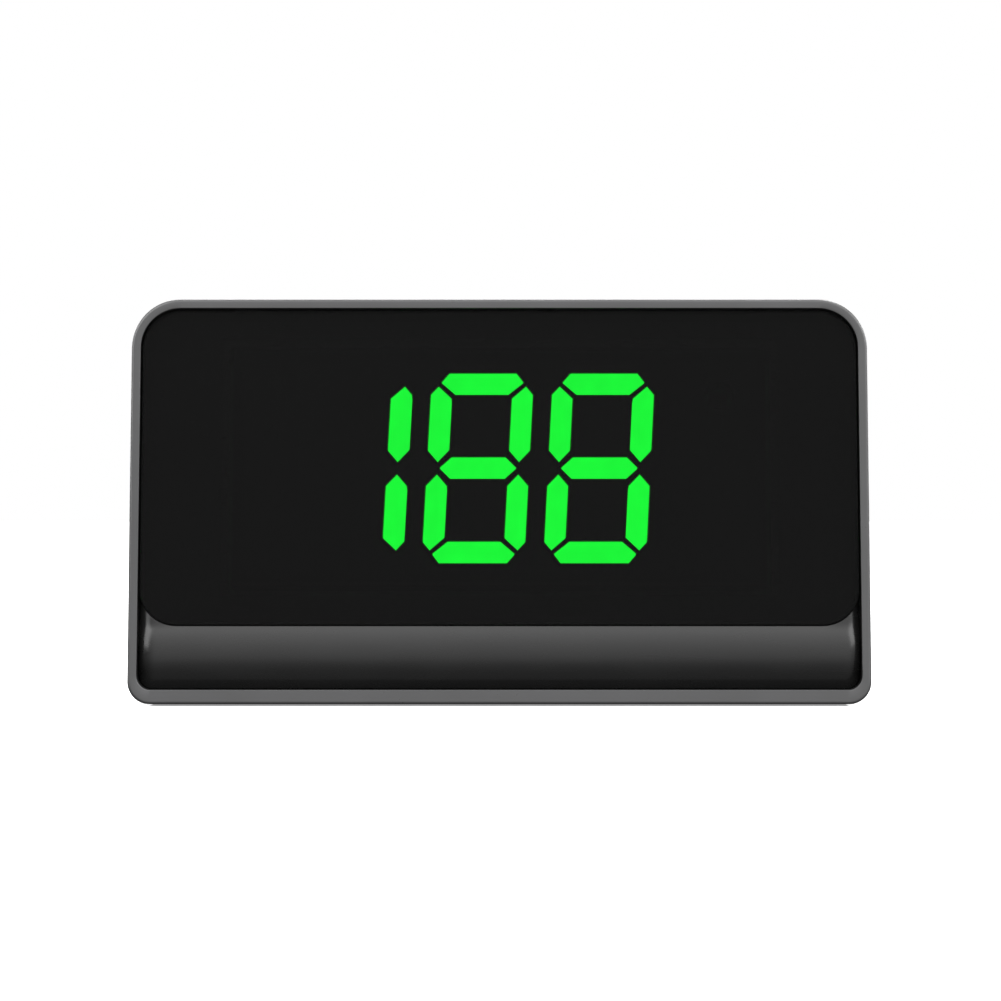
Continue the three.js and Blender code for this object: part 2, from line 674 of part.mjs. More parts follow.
speedDisplay.add(
  piece("trim_ring", trimRing(), 0x69696c, 0.38, 0.9),
  piece("front_shell", frontShell(), 0x0a0a0b, 0.12),
  piece("display_window", displayWindow(), 0x161616, 0.08),
  piece("window_tape", windowTape(), 0x151515, 0.9),
  piece("rear_shell", rearShell(), 0x141416, 0.6),
  piece("foot_pad", footPadBody(), 0x1c1c1e, 0.9),
  piece("reflector_block", reflectorBlock(), 0x111111, 0.8),
  ...lightGuides(),
  piece("display_board", displayBoard(), 0x0d4a2a, 0.5),
  piece("light_sensor", lightSensor(), 0x2a2a2a, 0.3),
  piece("board_header", boardHeader(), 0x181818, 0.6),
  piece("main_board", mainCircuit(), 0x0d4a2a, 0.5),
  piece("gps_antenna", gpsAntenna(), 0xb79b76, 0.5),
  piece("gps_module", gpsModule(), 0xb8bbc0, 0.3, 1),
  piece("microcontroller", microcontroller(), 0x151515, 0.5),
  piece("buzzer", buzzer(), 0x121212, 0.5),
  piece("vibration_sensor", vibrationSensor(), 0xa8a9ab, 0.3, 1),
  piece("usb_socket", usbSocket(), 0xb4b6b9, 0.25, 1),
  piece("battery_cell", batteryCell(), 0xa9adb0, 0.35, 0.7),
  piece("battery_tape", cellTape(), 0x202020, 0.95),
  piece("battery_socket", batterySocket(), 0xe6dfcf, 0.5),
  piece("battery_plug", batteryPlug(), 0xe9e4d8, 0.5),
  piece("battery_lead_red", wire(batteryRed), 0xb3151a, 0.5),
  piece("battery_lead_black", wire(batteryBlack), 0x111111, 0.5),
  piece("set_button", buttonCap(), 0x1d1d1f, 0.5),
  piece("button_plunger", buttonPlunger(), 0x2a2a2a, 0.5),
  piece("button_switch", buttonSwitch(), 0x222222, 0.5),
  piece("power_knob", switchKnob(), 0x1d1d1f, 0.5),
  piece("power_switch", powerSwitch(), 0x9a9c9e, 0.35, 0.9),
  piece("solar_board", panelSheet([-1.6, -0.8]), 0x16181c, 0.6),
  ...panelCells(),
  piece("solar_cover", panelSheet([-0.4, 0]), 0x1a2038, 0.15),
  piece("solar_lead_red", wire(panelWire(-24.8)), 0xb3151a, 0.5),
  piece("solar_lead_black", wire(panelWire(-23.2)), 0x111111, 0.5),
  piece("case_screw_left", caseScrewBody(-1), 0x303236, 0.35, 0.9),
  piece("case_screw_right", caseScrewBody(1), 0x303236, 0.35, 0.9),
  ...boardScrews.map((at, i) => piece(`board_screw_${i + 1}`, boardScrewBody(at), 0x8d8f92, 0.35, 0.9)),
);

export default speedDisplay;
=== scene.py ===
# %% [markdown]
# # A small solar speed display
# This lesson dresses a dashboard speed display: a wedge of black plastic with a smoked window, green
# digits, a satin metal ring round its face and a solar panel on its sloping back. The solid model
# is loaded first and never moves, and every shape made here takes its place from it. It could all be
# modelled from nothing, but then each piece would have to be fitted by eye.

# %% Load the solid model
import json
import math

import bmesh
import bpy
from mathutils import Matrix, Vector


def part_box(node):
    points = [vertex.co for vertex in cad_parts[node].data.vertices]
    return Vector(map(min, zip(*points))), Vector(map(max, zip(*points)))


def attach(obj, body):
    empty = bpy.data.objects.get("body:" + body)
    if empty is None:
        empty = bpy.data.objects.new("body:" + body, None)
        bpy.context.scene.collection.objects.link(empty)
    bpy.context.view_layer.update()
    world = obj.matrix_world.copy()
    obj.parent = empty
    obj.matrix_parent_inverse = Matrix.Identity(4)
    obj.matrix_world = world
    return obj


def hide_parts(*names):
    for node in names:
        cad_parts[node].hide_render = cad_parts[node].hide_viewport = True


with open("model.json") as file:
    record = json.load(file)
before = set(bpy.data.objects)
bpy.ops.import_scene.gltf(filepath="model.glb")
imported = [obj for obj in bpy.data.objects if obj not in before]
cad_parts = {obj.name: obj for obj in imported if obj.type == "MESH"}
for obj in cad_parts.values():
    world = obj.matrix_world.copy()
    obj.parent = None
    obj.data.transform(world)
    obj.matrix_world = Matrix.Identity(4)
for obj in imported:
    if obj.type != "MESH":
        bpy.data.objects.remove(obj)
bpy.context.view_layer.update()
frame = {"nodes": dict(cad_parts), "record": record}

# %% [markdown]
# ## Sizes
# A drawing of a small case is easiest to read in millimetres, so every length is named in
# millimetres and becomes metres only when a vertex is made. The outer sizes are measured on the
# solid pieces. The rest are the few numbers that a toolmaker writes on a drawing, such as the lean
# of the face and the radius of each corner.

# %% Sizes of the case
MM = 0.001


def corners_of(node):
    """The lowest and highest corner of a solid piece, in millimetres."""
    low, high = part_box(node)
    return low / MM, high / MM


def centre_of(node):
    low, high = corners_of(node)
    return (low + high) / 2


def size_of(node):
    low, high = corners_of(node)
    return high - low


ring_low, ring_high = corners_of("trim_ring")
HALF_WIDTH, FOOT_Y = ring_high.x, ring_low.y
FLOOR, TOP = ring_low.z, ring_high.z
BACK_Y = corners_of("rear_shell")[1].y
LEAN = math.radians(9)
TOP_CORNER = 5.3
BOTTOM_CORNER = 2.45
RIM_SIDE = 1.0
RIM_BOTTOM = 1.55
RIM_THICK = 3.2
print(f"case {2 * HALF_WIDTH:.1f} wide, {TOP - FLOOR:.1f} high, {BACK_Y - FOOT_Y:.1f} deep, in mm")

# %% [markdown]
# ## Arithmetic on shader sockets
# A finish is a small sum: a base value, some grain, some wear. Its nodes could be added and linked
# one by one, but the sum would be lost among the links. Wrapping a socket in a class whose operators
# add Math nodes lets the sum stay a sum.

# %% A socket that can be added and multiplied
class Flow:
    """One output of a node. Arithmetic on it adds Math nodes to the same graph."""

    def __init__(self, graph, socket):
        self.graph = graph
        self.socket = socket

    def _math(self, operation, first, second):
        return self.graph.node("ShaderNodeMath", {"operation": operation}, {0: first, 1: second})

    def __add__(self, other):
        return self._math("ADD", self, other)

    def __sub__(self, other):
        return self._math("SUBTRACT", self, other)

    def __rsub__(self, other):
        return self._math("SUBTRACT", other, self)

    def __mul__(self, other):
        return self._math("MULTIPLY", self, other)

    def __truediv__(self, other):
        return self._math("DIVIDE", self, other)

    def __lt__(self, other):
        return self._math("LESS_THAN", self, other)

    __radd__ = __add__
    __rmul__ = __mul__


# %% [markdown]
# ## One way to add a node
# Everything that isn't arithmetic comes from one method. It takes the node's type, then its own
# settings, then what goes into its sockets, because some settings change which sockets there are.
# The materials and the studio's sky both use it.

# %% A graph of nodes
def grey(level, tint=(1.0, 1.0, 1.0)):
    return (level * tint[0], level * tint[1], level * tint[2], 1.0)


class Graph:
    def __init__(self, tree):
        self.tree = tree

    def put(self, node, sockets):
        """Sets a socket to a value, or links a Flow to it."""
        for key, value in sockets.items():
            if isinstance(value, Flow):
                self.tree.links.new(value.socket, node.inputs[key])
            else:
                node.inputs[key].default_value = value

    def node(self, kind, settings=None, sockets=None, output=0):
        """Adds a node and gives back one of its outputs, if it has any."""
        made = self.tree.nodes.new(kind)
        for key, value in (settings or {}).items():
            if key == "stops":
                self.set_stops(made.color_ramp, value)
            else:
                setattr(made, key, value)
        self.put(made, sockets or {})
        if made.outputs:
            return Flow(self, made.outputs[output])

    def set_stops(self, ramp, stops):
        """A new ramp has two stops, so only the rest are added."""
        for place, level in stops[2:]:
            ramp.elements.new(place)
        for element, (place, level) in zip(ramp.elements, stops):
            element.position = place
            element.color = grey(level)

    def axis(self, vector, name):
        return self.node("ShaderNodeSeparateXYZ", None, {0: vector}, output=name)


# %% [markdown]
# ## A finish
# Each finish is one material with one Principled shader. Its patterns are read at the place of a
# point on the piece, in metres, so a grain of half a millimetre is half a millimetre on every piece
# and travels with the piece. Unwrapping each piece would give the same control, but these patterns
# need no seams.

# %% A material and its patterns
class Finish(Graph):
    def __init__(self, name, **constants):
        self.material = bpy.data.materials.new(name)
        self.material.use_nodes = True
        super().__init__(self.material.node_tree)
        self.shader = self.tree.nodes["Principled BSDF"]
        self.wire(**constants)

    def wire(self, **sockets):
        """Sets or links the shader's sockets. Spaces in their names are written as underscores."""
        self.put(self.shader, {key.replace("_", " "): value for key, value in sockets.items()})

    def place(self):
        return self.node("ShaderNodeTexCoord", output="Object")

    def noise(self, size, detail=2.0, stretch=None):
        """Soft noise from 0 to 1, with lumps about `size` millimetres across."""
        where = self.place()
        if stretch:
            where = self.node("ShaderNodeVectorMath", {"operation": "MULTIPLY"}, {0: where, 1: stretch})
        sockets = {"Vector": where, "Scale": 1 / (size * MM), "Detail": detail}
        return self.node("ShaderNodeTexNoise", None, sockets)

    def cells(self, size, feature="F1", output="Distance"):
        """A pattern of cells about `size` millimetres across."""
        sockets = {"Vector": self.place(), "Scale": 1 / (size * MM)}
        return self.node("ShaderNodeTexVoronoi", {"feature": feature}, sockets, output)

    def mix(self, share, first, second):
        return self.node("ShaderNodeMix", {"data_type": "RGBA"}, {0: share, 6: first, 7: second}, output=2)

    def ramp(self, value, low, high):
        """Stretches a value so that low becomes 0 and high becomes 1, and cuts off the rest."""
        return self.node("ShaderNodeMapRange", None, {"Value": value, "From Min": low, "From Max": high})

    def bump(self, height, depth):
        """Raises the surface by up to `depth` millimetres."""
        self.wire(Normal=self.node("ShaderNodeBump", None, {"Height": height, "Distance": depth * MM}))


# %% [markdown]
# ## A shelf of finishes
# The record gives every solid piece the name of a slot. A dictionary from slots to finishes works
# like a shelf of paint tins: each finish is mixed once, and every piece that needs it takes the same
# one. A finish for each piece would be heavier, and two parts of one moulding could drift apart.

# %% Put a finish on the shelf
PAINT = {}


def shelve(slot, material):
    PAINT[slot] = material
    print(f"{slot}: {len(material.node_tree.nodes)} nodes")


# %% [markdown]
# ## Gunmetal plating
# The ring round the face is plastic with a thin satin plating, darker than chrome. A plain metal
# with one roughness would look like sheet steel. Here the roughness follows a very fine grain, as
# plating follows the texture under it, and a broad cloud polishes it a little where fingers rub it.

# %% Mix the gunmetal plating
def gunmetal_plating():
    finish = Finish("gunmetal_plating", Metallic=0.85)
    cloud = finish.noise(6.0)
    grain = finish.noise(0.12, detail=3.0)
    rubbed = finish.ramp(finish.noise(2.2, detail=4.0), 0.52, 0.75)
    finish.wire(
        Base_Color=finish.mix(cloud, grey(0.182), grey(0.208, (1.0, 1.0, 1.02))),
        Roughness=0.28 + 0.08 * grain - 0.05 * rubbed,
    )
    finish.bump(grain, 0.006)
    return finish.material


shelve("gunmetal_trim", gunmetal_plating())

# %% [markdown]
# ## Polished black plastic
# The front shell comes out of a polished mould, so it's smooth enough to reflect a softbox as a
# long soft gradient. Perfect gloss looks false, so wiping marks and a few hairlines roughen it. A
# coat over the plastic gives the deep look of a piano finish without making the plastic paler.

# %% Mix the polished black
def polished_black():
    finish = Finish("polished_black", IOR=1.49, Coat_Weight=1.0, Coat_Roughness=0.22)
    wiped = finish.ramp(finish.noise(9.0, 3.0, stretch=(1.0, 0.4, 4.0)), 0.45, 0.7)
    hairline = finish.ramp(finish.noise(0.5, 4.0, stretch=(0.08, 1.0, 1.0)), 0.62, 0.72)
    finish.wire(
        Base_Color=finish.mix(wiped, grey(0.016), grey(0.02)),
        Roughness=0.26 + 0.05 * wiped + 0.06 * hairline,
    )
    finish.bump(hairline, 0.002)
    return finish.material


shelve("gloss_black", polished_black())

# %% [markdown]
# ## Smoked window
# The window is tinted so darkly that what isn't lit behind it disappears. Real glass with
# absorption would do this too, but it needs many more light bounces to come out clean. Partly clear
# plastic does the same job: light passes both faces of the plate, and each face keeps about seven
# tenths of it.

# %% Mix the smoked window
def smoked_window():
    finish = Finish("smoked_window", IOR=1.45, Specular_IOR_Level=0.1)
    haze = finish.noise(14.0, detail=3.0)
    speck = finish.ramp(finish.noise(0.35), 0.74, 0.8)
    finish.wire(
        Base_Color=finish.mix(haze, grey(0.0117), grey(0.0135)),
        Roughness=0.12 + 0.06 * haze + 0.1 * speck,
        Alpha=0.69 + 0.02 * haze,
    )
    return finish.material


shelve("smoked_window", smoked_window())

# %% [markdown]
# ## Stippled black plastic
# The rear shell comes out of a spark-eroded mould, which leaves a fine stipple that hides scratches
# and fingerprints. Modelling the stipple would take millions of faces, so a bump carries it. Two
# scales are added, because one scale alone looks like a regular print.

# %% Mix the stippled black
def stippled_black():
    finish = Finish("stippled_black", IOR=1.5)
    stipple = finish.cells(0.32, feature="SMOOTH_F1")
    fine = finish.noise(0.11)
    wear = finish.ramp(finish.noise(11.0, detail=4.0), 0.5, 0.8)
    finish.wire(
        Base_Color=finish.mix(wear, grey(0.024), grey(0.034, (1.0, 1.0, 1.04))),
        Roughness=0.48 + 0.16 * fine - 0.06 * wear,
    )
    finish.bump(stipple + 0.4 * fine, 0.035)
    return finish.material


shelve("matte_black", stippled_black())

# %% [markdown]
# ## Lit resin
# Each bar of a digit is milky resin with a lamp behind it. The lamp could be a real light inside
# the block, which is slow and noisy at this size, so the resin itself shines. It's a little weaker
# in cloudy patches, as cast resin is, and much brighter than it looks, because the smoked window
# takes most of it.

# %% Mix the lit resin
DIGIT_GREEN = (0.004, 1.0, 0.036, 1.0)
DIM_GREEN = (0.0037, 0.93, 0.0335, 1.0)
LAMP_STRENGTH = 10.6


def lit_resin():
    finish = Finish("lit_resin", Base_Color=(0.0, 0.05, 0.002, 1.0), Emission_Strength=LAMP_STRENGTH)
    cloud = finish.ramp(finish.noise(1.6), 0.3, 0.7)
    finish.wire(
        Emission_Color=finish.mix(cloud, DIM_GREEN, DIGIT_GREEN),
        Roughness=0.45 + 0.1 * cloud,
    )
    return finish.material


shelve("light_guide", lit_resin())

# %% [markdown]
# ## Sucker rubber
# The pad under the case grips a dashboard with hundreds of tiny suckers. They are too small to
# model one by one, so a pattern of cells dents the surface, and pale dust settles on part of it.

# %% Mix the sucker rubber
def sucker_rubber():
    finish = Finish("sucker_rubber", IOR=1.5)
    sucker = finish.cells(1.1)
    dust = finish.ramp(finish.noise(3.0, detail=5.0), 0.55, 0.8)
    finish.wire(
        Base_Color=finish.mix(dust, grey(0.018), grey(0.05, (1.0, 0.97, 0.92))),
        Roughness=0.7 + 0.2 * dust,
    )
    finish.bump(finish.ramp(sucker, 0.15, 0.4), 0.12)
    return finish.material


shelve("pad_rubber", sucker_rubber())

# %% [markdown]
# ## Silicon with printed fingers
# A solar cell is dark blue silicon, crossed by thin silver fingers that collect the current. The
# fingers repeat, so they come from a repeating step across the cell instead of a drawn picture.
# Under them the crystal shows as cells of slightly different blues.

# %% Mix the silicon
FINGER_PITCH = 1.4
FINGER_WIDTH = 0.09
DARK_BLUE = (0.004, 0.007, 0.03, 1.0)
PALE_BLUE = (0.008, 0.013, 0.055, 1.0)


def silicon():
    finish = Finish("silicon", Metallic=0.25, Coat_Weight=0.6, Coat_Roughness=0.1)
    phase = finish.axis(finish.place(), "X") / (FINGER_PITCH * MM)
    step = finish.node("ShaderNodeMath", {"operation": "FRACT"}, {0: phase})
    finger = step < FINGER_WIDTH / FINGER_PITCH
    crystal = finish.cells(2.6, output="Color")
    shade = finish.node("ShaderNodeSeparateColor", None, {0: crystal}, output="Red")
    finish.wire(
        Base_Color=finish.mix(finger, finish.mix(shade, DARK_BLUE, PALE_BLUE), grey(0.5)),
        Roughness=0.28 + 0.2 * finger + 0.08 * shade,
    )
    return finish.material


shelve("solar_cell", silicon())

# %% [markdown]
# ## Clear film
# A film is laminated over the cells. It is almost invisible, but its slight orange peel breaks up
# the highlight, and dust shows on it. Glass with refraction would be truer and slower, and through
# a film this thin nobody would see the difference.

# %% Mix the clear film
def clear_film():
    finish = Finish("clear_film", Base_Color=(0.3, 0.36, 0.5, 1.0), IOR=1.45)
    peel = finish.noise(1.3)
    dust = finish.ramp(finish.noise(0.5, detail=5.0), 0.66, 0.8)
    finish.wire(Roughness=0.1 + 0.08 * peel + 0.2 * dust, Alpha=0.04 + 0.08 * dust)
    finish.bump(peel, 0.01)
    return finish.material


shelve("panel_cover", clear_film())

# %% [markdown]
# ## Solder mask
# The circuit boards are green where a thin mask covers bare board, and lighter where it covers
# copper. Real tracks would have to be drawn. The edges between cells make a believable net of them,
# slightly raised, as copper is.

# %% Mix the solder mask
def solder_mask():
    finish = Finish("solder_mask", Coat_Weight=0.3, Coat_Roughness=0.2)
    copper = 1 - finish.ramp(finish.cells(2.2, feature="DISTANCE_TO_EDGE"), 0.05, 0.09)
    weave = finish.noise(0.3)
    finish.wire(
        Base_Color=finish.mix(copper, (0.006, 0.07, 0.025, 1.0), (0.02, 0.16, 0.05, 1.0)),
        Roughness=0.38 + 0.12 * weave,
    )
    finish.bump(copper, 0.03)
    return finish.material


shelve("circuit_green", solder_mask())

# %% [markdown]
# ## Plain moulded and stamped parts
# The remaining parts, from the foam to the screws, differ only in colour, sheen, grain and whether
# they are metal. Writing each as its own recipe would repeat the same lines, so one painter mixes
# them all: a cloud varies the colour and a fine grain varies the roughness.

# %% One painter for plain parts
def plain(name, shade, roughness, grain=0.4, metallic=0.0, tint=(1.0, 1.0, 1.0), lift=0.006):
    """`grain` and `lift` are the size and the height of the fine grain, in millimetres."""
    finish = Finish(name, Metallic=metallic)
    fine = finish.noise(grain, detail=3.0)
    cloud = finish.ramp(finish.noise(grain * 9, detail=3.0), 0.35, 0.7)
    finish.wire(
        Base_Color=finish.mix(cloud, grey(0.88 * shade, tint), grey(shade, tint)),
        Roughness=roughness - 0.05 + 0.12 * fine,
    )
    finish.bump(fine, lift)
    return finish.material


# %% Mix the plain parts
PLAIN_PARTS = {
    "black_foam": {"shade": 0.02, "roughness": 0.95, "grain": 0.25, "lift": 0.05},
    "reflector_black": {"shade": 0.004, "roughness": 0.9, "grain": 0.3},
    "component_black": {"shade": 0.015, "roughness": 0.5, "grain": 0.2},
    "antenna_ceramic": {"shade": 0.5, "roughness": 0.45, "tint": (1.0, 0.74, 0.46)},
    "bright_metal": {"shade": 0.62, "roughness": 0.28, "grain": 0.3, "metallic": 1.0},
    "cell_foil": {"shade": 0.58, "roughness": 0.35, "grain": 1.5, "metallic": 0.8, "lift": 0.03},
    "connector_ivory": {"shade": 0.7, "roughness": 0.5, "tint": (1.0, 0.94, 0.82)},
    "lead_red": {"shade": 0.42, "roughness": 0.45, "tint": (1.0, 0.03, 0.03)},
    "lead_black": {"shade": 0.012, "roughness": 0.45},
    "control_black": {"shade": 0.03, "roughness": 0.46, "grain": 0.2},
    "panel_board": {"shade": 0.012, "roughness": 0.6, "grain": 0.5},
    "screw_steel": {"shade": 0.28, "roughness": 0.35, "grain": 0.25, "metallic": 1.0},
    "contact_gold": {"shade": 0.8, "roughness": 0.25, "metallic": 1.0, "tint": (1.0, 0.72, 0.32)},
}
for name, recipe in PLAIN_PARTS.items():
    shelve(name, plain(name, **recipe))


# %% [markdown]
# ## Paint the solid pieces
# Every solid piece takes the finish that the record names for it. Most keep their shape, so all they
# need besides is a fine edge: a bevel six hundredths of a millimetre wide, which catches the light
# as moulded and stamped edges do. A modifier does it, so the solid itself stays as it is. The round
# leads have no edges to soften.

# %% Dress the solid pieces
SLOT_OF = {row["node"]: row["material_slot"] for row in frame["record"]["subparts"]}
FINE_EDGE = 0.06
EDGE_ANGLE = math.radians(40)


def even_faces(obj):
    """Keeps flat faces looking flat beside their rounded edges."""
    weighted = obj.modifiers.new("even_faces", "WEIGHTED_NORMAL")
    weighted.keep_sharp = True


def soften(obj):
    bevel = obj.modifiers.new("fine_edge", "BEVEL")
    bevel.width = FINE_EDGE * MM
    bevel.segments = 2
    bevel.limit_method = "ANGLE"
    bevel.angle_limit = EDGE_ANGLE
    even_faces(obj)


for name, node in frame["nodes"].items():
    node.data.materials.clear()
    node.data.materials.append(PAINT[SLOT_OF[name]])
    if "lead" not in name:
        soften(node)
print(len(frame["nodes"]), "solid pieces painted")

# %% [markdown]
# ## Outlines
# Nearly every moulded shape here is a stack of outlines. An outline is drawn once as a list of
# points, with round stretches as arcs, so that the number of points in each arc is always the same
# and one outline can be skinned to the next. Bezier curves would look alike but can't promise that.

# %% Outlines, as lists of points
QUARTER = math.pi / 2


def arc(centre_x, centre_z, radius, start, turn, steps):
    angles = [start + turn * i / steps for i in range(steps + 1)]
    return [(centre_x + radius * math.cos(a), centre_z + radius * math.sin(a)) for a in angles]


def rounded_outline(half_width, low, high, low_radius, high_radius, steps=16):
    """An upright rounded rectangle, from its lower right corner, anticlockwise."""
    right_low, right_high = half_width - low_radius, half_width - high_radius
    return (
        arc(right_low, low + low_radius, low_radius, -QUARTER, QUARTER, steps)
        + arc(right_high, high - high_radius, high_radius, 0, QUARTER, steps)
        + arc(-right_high, high - high_radius, high_radius, QUARTER, QUARTER, steps)
        + arc(-right_low, low + low_radius, low_radius, 2 * QUARTER, QUARTER, steps)
    )


def slot_outline(half_width, radius, steps=16):
    run = half_width - radius
    return arc(run, 0, radius, -QUARTER, math.pi, steps) + arc(-run, 0, radius, QUARTER, math.pi, steps)


def circle_outline(radius, steps=48):
    """The last point of the arc is left out, because it lies on the first."""
    return arc(0, 0, radius, 0, 2 * math.pi, steps)[:-1]


def box_outline(half_x, half_y):
    return [(half_x, -half_y), (half_x, half_y), (-half_x, half_y), (-half_x, -half_y)]


print("a rounded rectangle has", len(rounded_outline(2, 0, 2, 1, 1)), "points, a box", len(box_outline(1, 1)))

# %% [markdown]
# ## Places for outlines
# The face leans back and the solar panel lies on the sloping back, so an outline drawn flat has to
# be laid on one of those planes. Each plane gets a small function that turns the drawing into places
# on the object. Turning whole objects would work too, but then their meshes would no longer share
# one set of axes, and the patterns of the finishes would turn with them.

# %% Lay an outline on the face, the slope, the back or the floor
STRIP_TOP = 11.0
CROWN_DEPTH = 13.5
SLOPE_TOP_Y = FOOT_Y + CROWN_DEPTH
SLOPE_ANGLE = math.atan2(TOP - STRIP_TOP, BACK_Y - SLOPE_TOP_Y)
SLOPE = Matrix.Translation((0, (SLOPE_TOP_Y + BACK_Y) / 2, (TOP + STRIP_TOP) / 2))
SLOPE = SLOPE @ Matrix.Rotation(-SLOPE_ANGLE, 4, "X")


def face_y(z, behind):
    """Y of the plane that lies `behind` millimetres behind the leaning face, at height z."""
    return FOOT_Y + (z - FLOOR) * math.tan(LEAN) + behind / math.cos(LEAN)


def on_face(outline, behind):
    return [(x, face_y(z, behind), z) for x, z in outline]


def on_slope(outline, out, x=0.0, down=0.0):
    return [tuple(SLOPE @ Vector((x + across, down + along, out))) for across, along in outline]


def on_back(outline, y, x=0.0, z=0.0):
    return [(x + across, y, z + up) for across, up in outline]


def level(outline, z, x=0.0, y=0.0):
    return [(x + across, y + along, z) for across, along in outline]


print(f"the back slopes at {math.degrees(SLOPE_ANGLE):.1f} degrees")

# %% [markdown]
# ## Skins and pieces
# A stack of outlines becomes a mesh by joining each outline to the next with quads and capping the
# ends, or by joining the last to the first where the shape is a ring. Several skins can be gathered
# into one mesh, as for a row of contacts. bmesh then welds what touches and turns every face
# outwards.

# %% Skin a stack of outlines
def skin(rings, loop=False):
    count = len(rings[0])
    points = [point for ring in rings for point in ring]
    faces = []
    for row in range(len(rings) if loop else len(rings) - 1):
        this, following = row * count, (row + 1) % len(rings) * count
        for i in range(count):
            j = (i + 1) % count
            faces.append((this + i, this + j, following + j, following + i))
    if not loop:
        faces.append(tuple(range(count)))
        faces.append(tuple((len(rings) - 1) * count + i for i in range(count)))
    return points, faces


def gather(skins):
    """Puts several skins into one list of points and one of faces."""
    points, faces = [], []
    for more_points, more_faces in skins:
        faces += [tuple(index + len(points) for index in face) for face in more_faces]
        points += more_points
    return points, faces


# %% Turn a skin into an object
WELD = 1e-7


def mesh_object(name, points, faces, paint=None):
    """Points in millimetres become a welded mesh in metres, with its faces turned outwards."""
    mesh = bpy.data.meshes.new(name)
    mesh.from_pydata([Vector(point) * MM for point in points], [], faces)
    work = bmesh.new()
    work.from_mesh(mesh)
    bmesh.ops.remove_doubles(work, verts=work.verts, dist=WELD)
    bmesh.ops.recalc_face_normals(work, faces=work.faces)
    work.to_mesh(mesh)
    work.free()
    obj = bpy.data.objects.new(name, mesh)
    bpy.context.scene.collection.objects.link(obj)
    if paint:
        mesh.materials.append(paint)
    return obj


# %% [markdown]
# ## Settling a piece
# A finished piece is shaded smooth except at its sharp edges and is tied to the body that carries
# it, and the solid pieces it stands for are hidden but still there for the physics. Doing this in
# one place means that no piece is forgotten when the object moves.

# %% Shade a piece and tie it to its body
def settle(obj, stands_for=(), body="case", sharp=35):
    obj.data.polygons.foreach_set("use_smooth", [True] * len(obj.data.polygons))
    obj.data.set_sharp_from_angle(angle=math.radians(sharp))
    even_faces(obj)
    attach(obj, body)
    if stands_for:
        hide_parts(*stands_for)
    print(f"{obj.name}: {len(obj.data.polygons)} faces")
    return obj


# %% [markdown]
# ## Trim ring
# The ring is one moulding, 1 mm wide at the top and sides and half as wide again at the bottom. Its
# face is slightly crowned, so its outer edge turns away into the dark and its inner edge is crisp. A
# bevel modifier could round both alike, but here they differ, so the ring is skinned through its own
# profile. The wall inside the opening is painted black, as painted shade inside the opening.

# %% Outlines of the ring
CROWN = (0.34, 0.2)
INNER_EDGE = (0.1, 0.1)
RIM_CORNER = 1.5
LEAST_CORNER = 0.5


def case_outline(inset):
    low_radius = max(BOTTOM_CORNER - inset, LEAST_CORNER)
    return rounded_outline(HALF_WIDTH - inset, FLOOR + inset, TOP - inset, low_radius, TOP_CORNER - inset)


def rim_outline(inset):
    """The opening of the ring."""
    half = HALF_WIDTH - RIM_SIDE - inset
    low, high = FLOOR + RIM_BOTTOM + inset, TOP - RIM_SIDE - inset
    return rounded_outline(half, low, high, RIM_CORNER - inset, TOP_CORNER - RIM_SIDE - inset)


def edge_steps(run, drop, steps=6):
    """Inset and depth of each step over a rounded edge, from its side to its front."""
    angles = [QUARTER * i / steps for i in range(steps + 1)]
    return [(run * (1 - math.cos(a)), drop * (1 - math.sin(a))) for a in angles]


print("the crown of the ring takes", len(edge_steps(*CROWN)), "steps")

# %% Make the trim ring
def trim_ring():
    outer = [on_face(case_outline(inset), behind) for inset, behind in edge_steps(*CROWN)]
    inner = [on_face(rim_outline(-inset), behind) for inset, behind in edge_steps(*INNER_EDGE, 3)]
    back = [on_face(rim_outline(0), RIM_THICK), on_face(case_outline(0), RIM_THICK)]
    ring = mesh_object("gunmetal_ring", *skin(outer + inner[::-1] + back, loop=True), PAINT["gunmetal_trim"])
    ring.data.materials.append(PAINT["matte_black"])
    # The inner wall of the opening takes the black finish: painted shade, not plating.
    wall_row, count = len(outer) + len(inner) - 1, len(outer[0])
    for face in ring.data.polygons[wall_row * count : (wall_row + 1) * count]:
        face.material_index = 1
    return settle(ring, ["trim_ring"])


trim_ring()

# %% [markdown]
# ## Lip of the front shell
# Below the window the shell swells into a lip and rolls under, and it rounds off again where it
# meets the ring at each end. Sculpting it would be quick but never quite even. The lip is one arc in
# side view, so its depth is written as a formula, and the surface can't help being smooth.

# %% Depth of the lip
SEAM = 0.1
CHIN_TOP = corners_of("display_window")[0].z - SEAM
LIP_FRONT = 0.55
LIP_UP = math.radians(29)
LIP_DOWN = math.radians(30)
LIP_END = 2.0
LIP_END_DROP = 1.3
LIP_RADIUS = (CHIN_TOP - FLOOR - RIM_BOTTOM) / (math.sin(LIP_UP) + math.sin(LIP_DOWN))
LIP_CENTRE_Y = face_y(CHIN_TOP, LIP_FRONT) + LIP_RADIUS * math.cos(LIP_UP)
LIP_CENTRE_Z = CHIN_TOP - LIP_RADIUS * math.sin(LIP_UP)


def lip_depth(x, z):
    """How far behind the face the polished surface lies."""
    depth = LIP_FRONT
    if z < CHIN_TOP:
        y = LIP_CENTRE_Y - math.sqrt(LIP_RADIUS**2 - (z - LIP_CENTRE_Z) ** 2)
        depth = (y - face_y(z, 0)) * math.cos(LEAN)
    past = max(0.0, abs(x) - (HALF_WIDTH - RIM_SIDE - LIP_END)) / LIP_END
    return depth + LIP_END_DROP * (1 - math.sqrt(max(1 - past**2, 0.0)))


print(f"the lip rolls on a radius of {LIP_RADIUS:.2f} mm")

